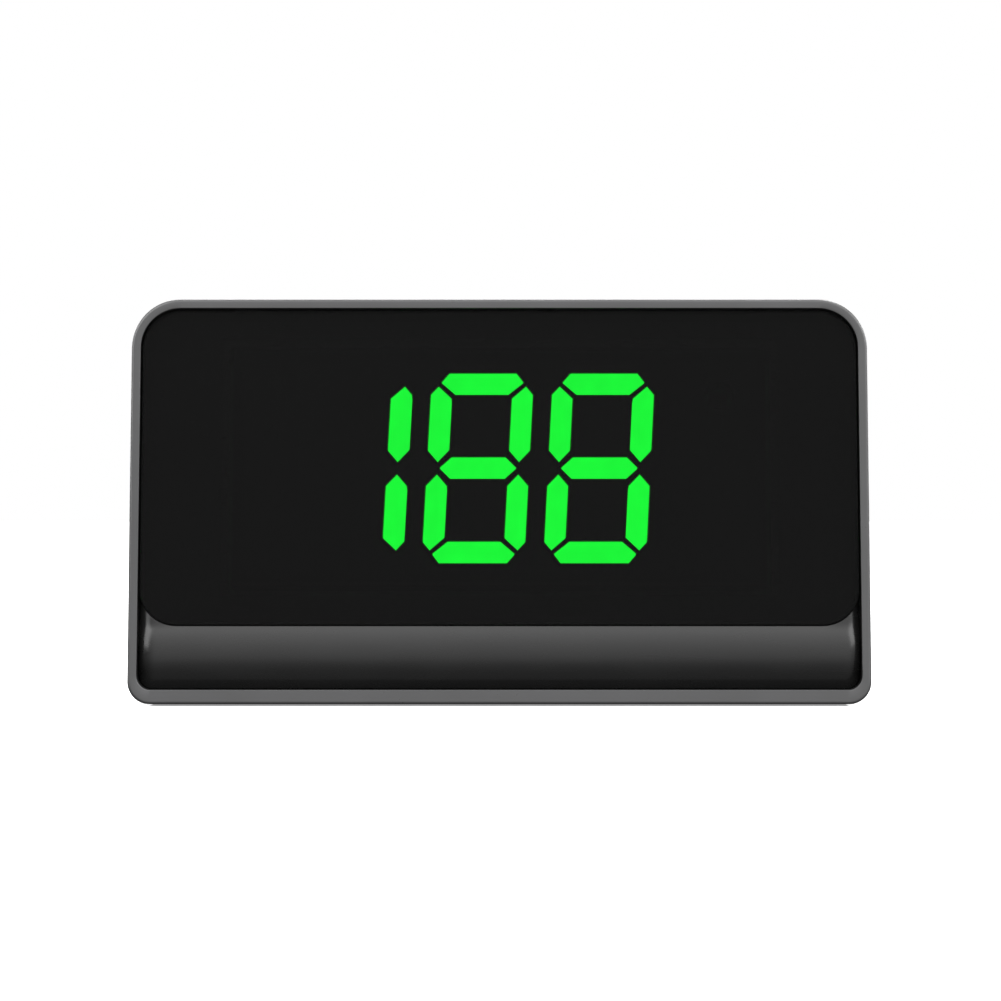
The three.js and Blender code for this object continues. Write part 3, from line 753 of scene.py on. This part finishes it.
# %% [markdown]
# ## Front shell
# The shell is the frame that everything in front is fixed to. It carries the lip, a recess for the
# window, an opening for the digits, and behind the ring a flange that shows as a thin black line
# round the case. All of these are rings of the same count of points, so one closed skin runs over
# the whole shell, front to back and round again, and no cut is needed.

# %% Rings of the lip
WINDOW_CORNER = 4.2
RECESS_GAP = 0.02
LIP_ROWS = 22


def window_outline(inset):
    half = HALF_WIDTH - RIM_SIDE - inset
    low, high = CHIN_TOP + inset, TOP - RIM_SIDE - inset
    return rounded_outline(half, low, high, WINDOW_CORNER - inset, TOP_CORNER - RIM_SIDE - inset)


def lip_rings():
    """Rings from the edge of the trim ring in to the edge of the window."""
    outer, inner = rim_outline(SEAM), window_outline(RECESS_GAP)
    rings = []
    for row in range(LIP_ROWS + 1):
        share = row / LIP_ROWS
        mixed = [(a[0] + (b[0] - a[0]) * share, a[1] + (b[1] - a[1]) * share) for a, b in zip(outer, inner)]
        rings.append([(x, face_y(z, lip_depth(x, z)), z) for x, z in mixed])
    return rings


print(LIP_ROWS + 1, "rings of", len(window_outline(RECESS_GAP)), "points make the lip")

# %% Make the front shell
RECESS = 1.85
WALL_BACK = 2.9
FLANGE = (3.3, 4.6)
FLANGE_EDGE = 0.12
OPENING_GAP = (0.5, 0.3)
OPENING_CORNER = 0.6
POCKET_INSET = 2.8
POCKET_CORNERS = (0.8, 2.6)


def opening_outline():
    """The hole that the digits shine through, a little larger than their block."""
    low, high = corners_of("reflector_block")
    beside, above = OPENING_GAP
    return rounded_outline(
        high.x + beside, low.z - above, high.z + above, OPENING_CORNER, OPENING_CORNER)


def pocket_outline():
    half = HALF_WIDTH - POCKET_INSET
    return rounded_outline(half, FLOOR + POCKET_INSET, TOP - POCKET_INSET, *POCKET_CORNERS)


def front_shell():
    opening, pocket = opening_outline(), pocket_outline()
    near, far = FLANGE
    flange = [(FLANGE_EDGE, far), (0, far - FLANGE_EDGE), (0, near + FLANGE_EDGE), (FLANGE_EDGE, near)]
    rings = [on_face(case_outline(inset), behind) for inset, behind in flange]
    rings += [on_face(rim_outline(SEAM), near)] + lip_rings()
    rings += [on_face(window_outline(RECESS_GAP), RECESS), on_face(opening, RECESS)]
    rings += [on_face(opening, WALL_BACK), on_face(pocket, WALL_BACK), on_face(pocket, far)]
    shell = mesh_object("polished_front", *skin(rings, loop=True), PAINT["gloss_black"])
    return settle(shell, ["front_shell"])


front_shell()

# %% [markdown]
# ## Display window
# The window is a flat plate, 1 mm thick, with its front edge eased so that it doesn't chip. It
# could be a simple slab, but without the eased edge nothing would tell the eye where the plate ends
# and the shell begins.

# %% Make the display window
WINDOW = (0.5, 1.5)
WINDOW_EDGE = 0.15
WINDOW_BACK_EDGE = 0.1


def display_window():
    steps = edge_steps(WINDOW_EDGE, WINDOW_EDGE, 3)
    front = [on_face(window_outline(SEAM + inset), WINDOW[0] + behind) for inset, behind in steps]
    back = [
        on_face(window_outline(SEAM), WINDOW[1] - WINDOW_BACK_EDGE),
        on_face(window_outline(SEAM + WINDOW_BACK_EDGE), WINDOW[1]),
    ]
    window = mesh_object("smoked_plate", *skin(front[::-1] + back), PAINT["smoked_window"])
    return settle(window, ["display_window"])


display_window()

# %% [markdown]
# ## Side view of the rear shell
# Seen from the side, the back is an upright strip, a slope, and soft corners between them. Each soft
# corner is a curve that starts and ends a set distance from the corner, as a moulded edge does. The
# whole line could be a Bezier curve in Blender, but a list of points can be asked how deep the case is
# at any height, and the levels of the shell need that.

# %% Side view of the back
HEEL_SOFT, SHOULDER_SOFT, CROWN_SOFT = 1.4, 2.2, 1.3


def soft_corner(before, corner, after, setback, steps=8):
    """Points round a softened corner of the side view, as (y, z)."""
    corner = Vector(corner)
    start = corner + (Vector(before) - corner).normalized() * setback
    end = corner + (Vector(after) - corner).normalized() * setback
    shares = [i / steps for i in range(steps + 1)]
    return [start * (1 - t) ** 2 + corner * 2 * t * (1 - t) + end * t * t for t in shares]


def back_line():
    foot, heel, shoulder = (0, FLOOR), (BACK_Y, FLOOR), (BACK_Y, STRIP_TOP)
    crown, brow = (SLOPE_TOP_Y, TOP), (face_y(TOP, 0), TOP)
    line = soft_corner(foot, heel, shoulder, HEEL_SOFT)
    line += soft_corner(heel, shoulder, crown, SHOULDER_SOFT)
    return line + soft_corner(shoulder, crown, brow, CROWN_SOFT)


BACK_LINE = back_line()


def back_y(z):
    for low, high in zip(BACK_LINE, BACK_LINE[1:]):
        if low.y <= z <= high.y and high.y > low.y:
            return low.x + (high.x - low.x) * (z - low.y) / (high.y - low.y)
    return BACK_LINE[-1].x


for height in (5, 20, 35):
    print(f"{height} mm up, the back stands {back_y(height) - FOOT_Y:.1f} mm behind the foot of the face")


# %% [markdown]
# ## Levels of the rear shell
# The rear shell is drawn level by level, from its floor to its top, like a contour map. At each
# level it's a U: along one side, round a corner, across the back and along the other side. Joining
# two extruded views with a boolean would give hard corners where they meet. The levels keep every
# vertical corner round, and they lie closest where the shape curves most.

# %% Outside of each level
SIDE_ROUND = 1.6
SHELL_FRONT = 4.7
SHELL_EDGE = 0.14
ROUND_STEPS = 7
CLOSEST_LEVELS = 0.02
CORNER_LEVELS = 16


def half_width(z):
    under = max(0.0, FLOOR + BOTTOM_CORNER - z)
    over = max(0.0, z - (TOP - TOP_CORNER))
    low = BOTTOM_CORNER - math.sqrt(max(BOTTOM_CORNER**2 - under**2, 0.0))
    high = TOP_CORNER - math.sqrt(max(TOP_CORNER**2 - over**2, 0.0))
    return HALF_WIDTH - low - high


def outer_level(z):
    """Half a U, from the front edge to the middle of the back, on the right-hand side."""
    x, y, front = half_width(z), back_y(z), face_y(z, SHELL_FRONT)
    radius = min(SIDE_ROUND, y - front - 2 * SHELL_EDGE)
    line = [(x - SHELL_EDGE, front), (x, front + SHELL_EDGE)]
    line += arc(x - radius, y - radius, radius, 0, QUARTER, ROUND_STEPS)
    return [(across, along, z) for across, along in line]


def shell_levels():
    """Heights of the levels, closest at the round corners and along the soft ones."""
    quarter = [1 - math.cos(QUARTER * i / CORNER_LEVELS) for i in range(CORNER_LEVELS + 1)]
    bottom = [FLOOR + BOTTOM_CORNER * share for share in quarter]
    top = [TOP - TOP_CORNER * share for share in quarter]
    kept = [FLOOR]
    for z in sorted(bottom + top + [point.y for point in BACK_LINE]):
        if z - kept[-1] > CLOSEST_LEVELS:
            kept.append(z)
    kept[-1] = TOP
    return kept


print("the rear shell is drawn in", len(shell_levels()), "levels")

# %% Inside of each level
WALL = 1.6
HOLLOW_TOP = 40.0
BEHIND_SLOPE = 3.4
BEHIND_STRIP = 1.8
SLOPE_MARGIN = 1
LEAST_DEPTH = 1


def inner_level(z):
    """The same line for the hollow, which keeps clear of the panel's bed."""
    share = (z - FLOOR) / (TOP - FLOOR)
    inside = FLOOR + WALL + share * (HOLLOW_TOP - FLOOR - WALL)
    x, front = half_width(z) - WALL, face_y(inside, SHELL_FRONT)
    back = BACK_Y - BEHIND_STRIP
    if inside > STRIP_TOP - SLOPE_MARGIN:
        back = min(back, back_y(inside) - BEHIND_SLOPE)
    back = max(back, face_y(inside, SHELL_FRONT + LEAST_DEPTH))
    return [(x, front, inside), (x, back, inside)]


print(f"the hollow is {2 * inner_level(FLOOR + BOTTOM_CORNER)[0][0]:.1f} mm wide")

# %% [markdown]
# ## Skin of the rear shell
# Outside and inside are each a grid of levels, closed with a flat floor and a flat top. A last row of
# faces joins their front edges, which makes the rim that meets the front shell. A Solidify modifier
# could make the inside, but its wall would be equally thick everywhere, and this one has to leave room
# for the panel. The result is one closed body, so holes can be cut through its wall afterwards.

# %% Skin the rear shell
def whole(half):
    """Adds the mirrored left-hand side to a right-hand line."""
    return half + [(-x, y, z) for x, y, z in half[::-1]]


def grid_faces(start, rows, columns):
    return [
        (corner, corner + 1, corner + 1 + columns, corner + columns)
        for row in range(rows - 1)
        for corner in range(start + row * columns, start + row * columns + columns - 1)
    ]


def rear_shell_mesh():
    levels = shell_levels()
    points, faces, rims = [], [], []
    for side in (outer_level, inner_level):
        rows = [whole(side(z)) for z in levels]
        start, columns = len(points), len(rows[0])
        last = start + (len(rows) - 1) * columns
        points += [point for row in rows for point in row]
        faces += grid_faces(start, len(rows), columns)
        faces += [tuple(range(start, start + columns)), tuple(range(last, last + columns))]
        right = [start + row * columns for row in range(len(rows))]
        rims.append(right + [index + columns - 1 for index in right[::-1]])
    outer, inner = rims
    for i in range(len(outer)):
        j = (i + 1) % len(outer)
        faces.append((outer[i], outer[j], inner[j], inner[i]))
    return mesh_object("stippled_shell", points, faces, PAINT["matte_black"])


# %% [markdown]
# ## Holes in the upright strip
# The strip at the back has the charging port, the hole for the button, a shallow pocket and a slot
# for the sliding knob, and three sound holes. A boolean suits them, since each is a plain punch
# through a flat wall. Each punch flares at its mouth, which leaves the small chamfer of a moulded
# hole behind.

# %% A punch for the strip
FLARE = 0.22
PAST = 1
STRIP_INSIDE = BACK_Y - 2.6


def punch(rings):
    return mesh_object("punch", *skin(rings))


def strip_punch(outline_at, end_y, x, z):
    """Reaches in as far as end_y. outline_at(grow) gives the outline, grown by that much."""
    stops = [(0, end_y), (0, BACK_Y - FLARE), (FLARE, BACK_Y), (FLARE, BACK_Y + PAST)]
    return punch([on_back(outline_at(grow), y, x, z) for grow, y in stops])


print(f"the punches reach {BACK_Y - STRIP_INSIDE:.1f} mm into the strip")

# %% Outlines of the holes
USB = centre_of("usb_socket")
USB_HALF = size_of("usb_socket") / 2
USB_FIT = 0.2
BUTTON = centre_of("set_button")
BUTTON_RADIUS = 1.9
BUTTON_FIT = 0.15
KNOB_POCKET = (2.6, 1.6)
KNOB_POCKET_CORNER = 0.5
KNOB_SLOT = (2.0, 0.95)
KNOB_SLOT_CORNER = 0.2
SOUND_RADIUS = 0.5


def usb_opening(grow):
    return slot_outline(USB_HALF.x + USB_FIT + grow, USB_HALF.z + USB_FIT + grow)


def button_hole(grow):
    return circle_outline(BUTTON_RADIUS + BUTTON_FIT + grow)


def knob_pocket(grow):
    half_x, half_z = KNOB_POCKET
    radius = KNOB_POCKET_CORNER + grow
    return rounded_outline(half_x + grow, -half_z - grow, half_z + grow, radius, radius, 6)


def knob_slot(_):
    """The slot is hidden at the bottom of the pocket, so it has no flare."""
    half_x, half_z = KNOB_SLOT
    return rounded_outline(half_x, -half_z, half_z, KNOB_SLOT_CORNER, KNOB_SLOT_CORNER, 4)


def sound_hole(grow):
    return circle_outline(SOUND_RADIUS + grow / 2, 20)


print(f"port at {USB.x:.1f}, button at {BUTTON.x:.1f} mm from the middle")

# %% Set out the punches of the strip
KNOB = centre_of("power_knob")
KNOB_TRAVEL = 2.0
KNOB_POCKET_DEEP = 0.9
BUZZER = centre_of("buzzer")
SOUND_STEP = 2.0
SOUND_Z = 7.0


def strip_punches():
    knob_middle = KNOB.x + KNOB_TRAVEL / 2
    made = [
        strip_punch(usb_opening, STRIP_INSIDE, USB.x, USB.z),
        strip_punch(button_hole, STRIP_INSIDE, BUTTON.x, BUTTON.z),
        strip_punch(knob_pocket, BACK_Y - KNOB_POCKET_DEEP, knob_middle, KNOB.z),
        strip_punch(knob_slot, STRIP_INSIDE, knob_middle, KNOB.z),
    ]
    for step in (-SOUND_STEP, 0, SOUND_STEP):
        made.append(strip_punch(sound_hole, STRIP_INSIDE, BUZZER.x + step, SOUND_Z))
    return made


punches = strip_punches()
print(len(punches), "punches for the strip")

# %% [markdown]
# ## Beds in the slope and the floor
# The panel lies in a bed on the slope, the pad in a shallow bed under the floor, and each case screw
# in a counterbore. The beds could be part of the levels, but then the levels would have to bend round
# their corners. They are punched instead, and all except the holes for the screws' shanks stop inside
# the wall.

# %% Punches for the panel, the pad and the screws
PANEL_HALF = size_of("solar_cover").x / 2
PANEL_HALF_LENGTH = 15.5
PANEL_CORNER = 1.0
PAD_CORNER = 3.0
PAD_FIT = 0.12
SCREWS = ("case_screw_left", "case_screw_right")
PAD_BED_DEEP = 0.4
# Each stop is how far the outline has grown, and its height above the slope.
PANEL_BED = [(0.2, -1.7), (0.2, -0.3), (0.5, 0.02), (0.5, 4)]
# Each stop is a radius and a height.
SCREW_HEAD_BED = [(2.15, -1), (2.15, FLOOR), (1.85, FLOOR + 0.3), (1.85, FLOOR + 1)]
SCREW_SHANK_HOLE = [(1.15, 0), (1.15, 3)]


def panel_outline(grow):
    half_length = PANEL_HALF_LENGTH + grow
    return rounded_outline(PANEL_HALF + grow, -half_length, half_length, PANEL_CORNER, PANEL_CORNER, 8)


def pad_outline(grow):
    low, high = corners_of("foot_pad")
    radius = PAD_CORNER + grow
    return rounded_outline(high.x + grow, low.y - grow, high.y + grow, radius, radius, 10)


def bed_punches():
    made = [
        punch([on_slope(panel_outline(grow), out) for grow, out in PANEL_BED]),
        punch([level(pad_outline(PAD_FIT), z) for z in (-2, FLOOR + PAD_BED_DEEP)]),
    ]
    for at in map(centre_of, SCREWS):
        for stops, steps in ((SCREW_HEAD_BED, 48), (SCREW_SHANK_HOLE, 24)):
            made.append(punch([level(circle_outline(r, steps), z, at.x, at.y) for r, z in stops]))
    return made


punches += bed_punches()
print(len(punches), "punches in all")

# %% [markdown]
# ## Rear shell
# The punches are used as boolean modifiers, one for each hole, and the cut mesh then replaces the
# modifiers. Leaving them live would work as well, but the punches would have to stay in the scene.

# %% Make the rear shell
def carve(obj, punches):
    for tool in punches:
        hole = obj.modifiers.new("hole", "BOOLEAN")
        hole.object = tool
        hole.solver = "EXACT"
    graph = bpy.context.evaluated_depsgraph_get()
    carved = bpy.data.meshes.new_from_object(obj.evaluated_get(graph))
    obj.modifiers.clear()
    obj.data = carved
    for tool in punches:
        bpy.data.objects.remove(tool)


rear = rear_shell_mesh()
carve(rear, punches)
settle(rear, ["rear_shell"])

# %% [markdown]
# ## Solar panel
# The panel is a laminate: a black board, six cells side by side and a clear film with eased edges.
# The cells keep their solid shape. Two flat ribbons run over all of them and tie the front of each
# cell to the next. They are real strips and not part of the cell's pattern, because their edges catch
# the light.

# %% Make the film and the board
# Each stop is how far the outline has grown, and its height above the slope.
FILM = [(0, -0.4), (0, -0.12), (-0.05, -0.03), (-0.15, 0)]
BOARD = [(0, -1.6), (0, -0.85), (-0.05, -0.8)]


def slope_piece(name, outline_at, stops, slot, stands_for=(), down=0.0):
    rings = [on_slope(outline_at(grow), out, 0.0, down) for grow, out in stops]
    return settle(mesh_object(name, *skin(rings), PAINT[slot]), stands_for)


slope_piece("panel_film", panel_outline, FILM, "panel_cover", ["solar_cover"])
slope_piece("panel_back", panel_outline, BOARD, "panel_board", ["solar_board"])

# %% Make the ribbons
RIBBON = [(0, -0.49), (0, -0.45), (-0.05, -0.43)]
RIBBON_DOWN = 7.2
RIBBON_HALF = 0.45
RIBBON_SHORT = 1.0


def ribbon_outline(grow):
    return box_outline(PANEL_HALF - RIBBON_SHORT, RIBBON_HALF + grow)


slope_piece("cell_ribbon_upper", ribbon_outline, RIBBON, "bright_metal", down=-RIBBON_DOWN)
slope_piece("cell_ribbon_lower", ribbon_outline, RIBBON, "bright_metal", down=RIBBON_DOWN)

# %% [markdown]
# ## Charging port
# The port is a drawn steel shell with a rolled mouth, and inside it a thin tongue with a row of gold
# contacts on each face. A dark hole would pass from far away. From close by, the tongue and its
# contacts are what make it a port.

# %% Make the port's shell
USB_BACK, USB_MOUTH = (corner.y for corner in corners_of("usb_socket"))
USB_WALL = 0.3
USB_FLOOR = USB_BACK + 1.2
# Each stop over the rolled mouth is how far it lies inside the outline, and below the mouth.
USB_ROLL = [(0, 0.08), (0.06, 0.0), (USB_WALL - 0.06, 0.0), (USB_WALL, 0.1)]


def usb_outline(inset):
    return slot_outline(USB_HALF.x - inset, USB_HALF.z - inset)


def port_shell():
    rings = [on_back(usb_outline(0), USB_BACK, 0, USB.z)]
    rings += [on_back(usb_outline(inset), USB_MOUTH - below, 0, USB.z) for inset, below in USB_ROLL]
    rings += [on_back(usb_outline(USB_WALL), USB_FLOOR, 0, USB.z)]
    shell = mesh_object("port_shell", *skin(rings), PAINT["bright_metal"])
    return settle(shell, ["usb_socket"])


port_shell()

# %% Make the port's tongue
TONGUE_HALF = (3.3, 0.35)
TONGUE_CORNER = 0.1
TONGUE = [(0, USB_FLOOR - 0.2), (0, USB_MOUTH - 1.1), (-0.08, USB_MOUTH - 1)]


def tongue_outline(grow):
    half_x, half_z = TONGUE_HALF
    return rounded_outline(half_x + grow, -half_z - grow, half_z + grow, TONGUE_CORNER, TONGUE_CORNER, 3)


def port_tongue():
    rings = [on_back(tongue_outline(grow), y, 0, USB.z) for grow, y in TONGUE]
    return settle(mesh_object("port_tongue", *skin(rings), PAINT["component_black"]))


port_tongue()

# %% Make the port's contacts
CONTACTS = 12
CONTACT_PITCH = 0.5
CONTACT_HALF = (0.13, 0.03)
CONTACT_LIFT = 0.01
CONTACT_ENDS = (USB_FLOOR + 0.3, USB_MOUTH - 1.4)


def port_contacts():
    skins = []
    for index in range(CONTACTS):
        x = (index - (CONTACTS - 1) / 2) * CONTACT_PITCH
        for side in (-1, 1):
            z = USB.z + side * (TONGUE_HALF[1] + CONTACT_LIFT)
            skins.append(skin([on_back(box_outline(*CONTACT_HALF), y, x, z) for y in CONTACT_ENDS]))
    return settle(mesh_object("port_contacts", *gather(skins), PAINT["contact_gold"]))


port_contacts()

# %% [markdown]
# ## Set button
# The button is turned: a stem, a flange that keeps it in the case, and a slightly dished top where
# the finger goes. A Screw modifier could turn its profile, but the skin does the same ring by ring
# with the tools that are already here. It rides on its own body, so it moves when it's pressed.

# %% Make the set button
def set_button():
    low, high = corners_of("set_button")
    flange, seat, top = (high.x - low.x) / 2, low.y, high.y
    profile = [
        (0.01, seat), (flange, seat), (flange, seat + 0.38), (BUTTON_RADIUS, seat + 0.4),
        (BUTTON_RADIUS, top - 0.3), (BUTTON_RADIUS - 0.06, top - 0.14), (BUTTON_RADIUS - 0.2, top - 0.03),
        (BUTTON_RADIUS - 0.38, top), (BUTTON_RADIUS - 0.7, top - 0.05), (0.6, top - 0.17), (0.01, top - 0.2),
    ]
    rings = [on_back(circle_outline(radius), y, BUTTON.x, BUTTON.z) for radius, y in profile]
    cap = mesh_object("button_cap", *skin(rings), PAINT["control_black"])
    return settle(cap, ["set_button"], body="set_button")


set_button()

# %% [markdown]
# ## Sliding knob
# The on/off knob is a stem with a small block on it, and ridges across the block that a fingernail
# can push. A bump could hint at the ridges, but these are real, because their shadows show which way
# the knob slides.

# %% Skins of the sliding knob
KNOB_BACK, KNOB_FRONT = (corner.y for corner in corners_of("power_knob"))
KNOB_HALF = size_of("power_knob").x / 2
KNOB_HIGH = 1.05
KNOB_BASE = KNOB_FRONT - KNOB_HIGH
STEM_HALF = (0.8, 0.75)
STEM_CORNER = 0.1
STEM_OVERLAP = 0.1
BLOCK_CORNER = 0.3
RIDGES = 5
RIDGE_PITCH = 0.46
RIDGE_INSET = 0.12
RIDGE_ROUND = 0.8
# A block's stop is how far it has grown and its height off the base. A ridge's starts with half its width.
BLOCK = [(-0.1, 0), (0, 0.1), (0, 0.6), (-0.1, 0.7)]
RIDGE = [(0.16, 0.6), (0.12, KNOB_HIGH - 0.08), (0.06, KNOB_HIGH)]


def stem_skin():
    half_x, half_z = STEM_HALF
    shape = rounded_outline(half_x, -half_z, half_z, STEM_CORNER, STEM_CORNER, 2)
    return skin([on_back(shape, y, KNOB.x, KNOB.z) for y in (KNOB_BACK, KNOB_BASE + STEM_OVERLAP)])


def block_outline(grow):
    half = KNOB_HALF + grow
    return rounded_outline(half, -half, half, BLOCK_CORNER, BLOCK_CORNER, 4)


def ridge_outline(half_wide):
    half_long, radius = KNOB_HALF - RIDGE_INSET, RIDGE_ROUND * half_wide
    return rounded_outline(half_wide, -half_long, half_long, radius, radius, 3)


def knob_skin(outline_at, stops, x):
    return skin([on_back(outline_at(value), KNOB_BASE + out, x, KNOB.z) for value, out in stops])


print(f"the knob is {2 * KNOB_HALF:.1f} mm across")

# %% Make the sliding knob
def power_knob():
    skins = [stem_skin(), knob_skin(block_outline, BLOCK, KNOB.x)]
    for index in range(RIDGES):
        x = KNOB.x + (index - (RIDGES - 1) / 2) * RIDGE_PITCH
        skins.append(knob_skin(ridge_outline, RIDGE, x))
    made = mesh_object("knob_ridged", *gather(skins), PAINT["control_black"])
    return settle(made, ["power_knob"], body="power_knob")


power_knob()

# %% [markdown]
# ## Foot pad
# The pad is a die-cut slab of soft rubber. Its only shape is a slightly rounded lower edge, where
# the rubber has been pressed into a dashboard. A box with a bevel would do, but the pad and its bed
# have to share one outline, so both are skinned from the same function.

# %% Make the foot pad
def foot_pad():
    low, high = corners_of("foot_pad")
    stops = [(-0.12, low.z), (-0.03, low.z + 0.05), (0, low.z + 0.12), (0, high.z)]
    rings = [level(pad_outline(grow), z) for grow, z in stops]
    return settle(mesh_object("rubber_pad", *skin(rings), PAINT["pad_rubber"]), ["foot_pad"])


foot_pad()

# %% [markdown]
# ## Case screws
# Two pan-head screws close the case from below. The head and the shank are turned like the button,
# and the cross is cut into the head with two small bars. A dark cross painted on the head would do
# from far away, but a cut one has walls that catch the light.

# %% Make the case screws
CROSS_LONG, CROSS_WIDE, CROSS_DEEP = 0.95, 0.2, 0.55


def case_screw(name):
    low, high = corners_of(name)
    at, head, base = centre_of(name), (high.x - low.x) / 2, low.z
    profile = [
        (0.02, base), (0.9, base + 0.02), (head - 0.35, base + 0.12), (head - 0.1, base + 0.26),
        (head, base + 0.45), (head, base + 0.8), (1.0, base + 0.82), (1.0, high.z - 0.3), (0.7, high.z),
    ]
    rings = [level(circle_outline(radius, 32), z, at.x, at.y) for radius, z in profile]
    screw = mesh_object(name + "_pan", *skin(rings), PAINT["screw_steel"])
    arms = [box_outline(CROSS_LONG, CROSS_WIDE), box_outline(CROSS_WIDE, CROSS_LONG)]
    carve(screw, [punch([level(arm, z, at.x, at.y) for z in (base - 1, base + CROSS_DEEP)]) for arm in arms])
    return settle(screw, [name], sharp=30)


for name in SCREWS:
    case_screw(name)


# %% [markdown]
# ## Floor
# The display stands on a light table: a pale floor that shines by itself, so that no shadow spreads
# over it. Right under the case its glow is turned down, a painted contact shadow, and that thin dark
# line is what makes the object stand instead of float. The polished lip would mirror a bright floor
# as a white stripe, so the floor is hidden from reflections, as a black card in front of the table would hide
# it.

# %% Make the floor
FLOOR_GLOW = 0.95
FLOOR_SHADE = 0.3
FLOOR_RADIUS = 4000
FLOOR_THICK = 20


def floor_finish():
    finish = Finish("pale_floor", Specular_IOR_Level=0.1, Emission_Strength=1.0)
    mottle = finish.noise(900.0)
    across, along = (finish.axis(finish.place(), name) for name in "XY")
    half_x, half_y = (HALF_WIDTH - BOTTOM_CORNER) * MM, BACK_Y * MM
    # Painted contact shadow: over the footprint of the case the glow drops to FLOOR_SHADE.
    under = (across * across < half_x**2) * (along * along < half_y**2)
    finish.wire(
        Base_Color=finish.mix(mottle, grey(0.93), grey(0.95)),
        Roughness=0.9 + 0.05 * mottle,
        Emission_Color=finish.mix(under, grey(FLOOR_GLOW), grey(FLOOR_SHADE)),
    )
    return finish.material


def pale_floor():
    rings = [level(circle_outline(FLOOR_RADIUS, 96), z) for z in (-FLOOR_THICK, 0)]
    slab = mesh_object("pale_floor", *skin(rings), floor_finish())
    slab.visible_glossy = False
    slab.visible_diffuse = False
    print(f"floor {2 * FLOOR_RADIUS * MM:.0f} m across")


pale_floor()

# %% [markdown]
# ## Sky
# To the camera the background is plain white. To the object it's a soft sky that fades downwards, to
# the left and behind, as in a studio where black cards stand beside a white sweep. Those fades draw
# the gradient on the lip and the dark line down the ring's outer edge. Several real cards would do
# the same, but they would also be seen from the side.

# %% Make the sky
SKY_STRENGTH = 1.4
# Each stop is a place from 0 (below, left or ahead) to 1 (above, right or behind), and a brightness.
SKY_BY_HEIGHT = [
    (0.0, 0.08), (0.3, 0.1), (0.4, 0.18), (0.47, 0.35), (0.66, 0.52), (0.82, 0.75), (0.93, 1.0), (1.0, 0.15)]
SKY_BY_SIDE = [(0.0, 0.05), (0.2, 0.3), (0.4, 0.9), (0.5, 1.0), (0.75, 1.0), (0.92, 0.5), (1.0, 0.2)]
SKY_BY_DEPTH = [(0.0, 1.0), (0.5, 1.0), (0.62, 0.25), (1.0, 0.2)]


def studio_sky():
    world = bpy.data.worlds.new("studio")
    bpy.context.scene.world = world
    world.use_nodes = True
    world.node_tree.nodes.clear()
    sky = Graph(world.node_tree)
    direction = sky.node("ShaderNodeTexCoord", output="Generated")
    brightness = SKY_STRENGTH
    for axis, stops in (("Z", SKY_BY_HEIGHT), ("X", SKY_BY_SIDE), ("Y", SKY_BY_DEPTH)):
        place = sky.axis(direction, axis) * 0.5 + 0.5
        brightness = sky.node("ShaderNodeValToRGB", {"stops": stops}, {0: place}) * brightness
    soft = sky.node("ShaderNodeBackground", None, {"Color": grey(1.0), "Strength": brightness})
    white = sky.node("ShaderNodeBackground", None, {"Color": grey(1.0), "Strength": 1.0})
    to_camera = sky.node("ShaderNodeLightPath", output="Is Camera Ray")
    shown = sky.node("ShaderNodeMixShader", None, {0: to_camera, 1: soft, 2: white})
    sky.node("ShaderNodeOutputWorld", None, {"Surface": shown})
    print("sky made of", len(world.node_tree.nodes), "nodes")


studio_sky()

# %% [markdown]
# ## Softboxes
# The sky alone would leave the object flat. A softbox on the right draws the bright line down the
# ring, one in front on the left rounds the end of the lip, one high behind lights the solar panel, and
# two lower ones behind show the stipple on the sides. Small lamps would need less room, but they leave
# hard spots on polished plastic, so all of these are large.

# %% Hang the softboxes
AIM = (0.0, 0.0, 0.02)


def softbox(name, place, size, power):
    light = bpy.data.lights.new(name, "AREA")
    light.shape = "RECTANGLE"
    light.size, light.size_y = size
    light.energy = power
    obj = bpy.data.objects.new(name, light)
    obj.location = place
    obj.rotation_mode = "QUATERNION"
    obj.rotation_quaternion = (Vector(AIM) - Vector(place)).to_track_quat("-Z", "Y")
    bpy.context.scene.collection.objects.link(obj)
    print(f"{name}: {power} W from {Vector(place).length:.2f} m")


softbox("right_side", (0.52, -0.33, 0.38), (0.4, 0.4), 0.8)
softbox("left_front", (-0.34, -0.28, 0.34), (0.25, 0.5), 0.75)
softbox("over_back", (0.1, 0.36, 0.95), (0.8, 0.4), 7.0)
softbox("left_behind", (-0.7, 0.32, 0.3), (0.4, 0.4), 3.0)
softbox("right_behind", (0.7, 0.32, 0.3), (0.4, 0.4), 3.0)

# %% [markdown]
# ## Camera
# The camera looks straight at the object from half its height and from less than half a metre, so
# the leaning face looks slightly narrower at its top. A longer distance would flatten that and a
# shorter one would overdo it. The lens then sets how much of the view the case fills.

# %% Make the camera
CAMERA_GAP = 453.0
CAMERA_X, CAMERA_Z = 0.12, 22.08
SENSOR = 36.0
LENS = 151.8


def front_camera():
    camera = bpy.data.cameras.new("front_camera")
    camera.sensor_width = SENSOR
    camera.lens = LENS
    camera.clip_start = 0.01
    obj = bpy.data.objects.new("front_camera", camera)
    obj.location = Vector((CAMERA_X, FOOT_Y - CAMERA_GAP, CAMERA_Z)) * MM
    obj.rotation_euler = (QUARTER, 0.0, 0.0)
    bpy.context.scene.collection.objects.link(obj)
    bpy.context.scene.camera = obj


front_camera()
bpy.context.scene.view_settings.view_transform = "Standard"
print(f"a {LENS:.0f} mm lens, {CAMERA_GAP / 1000:.2f} m from the face")
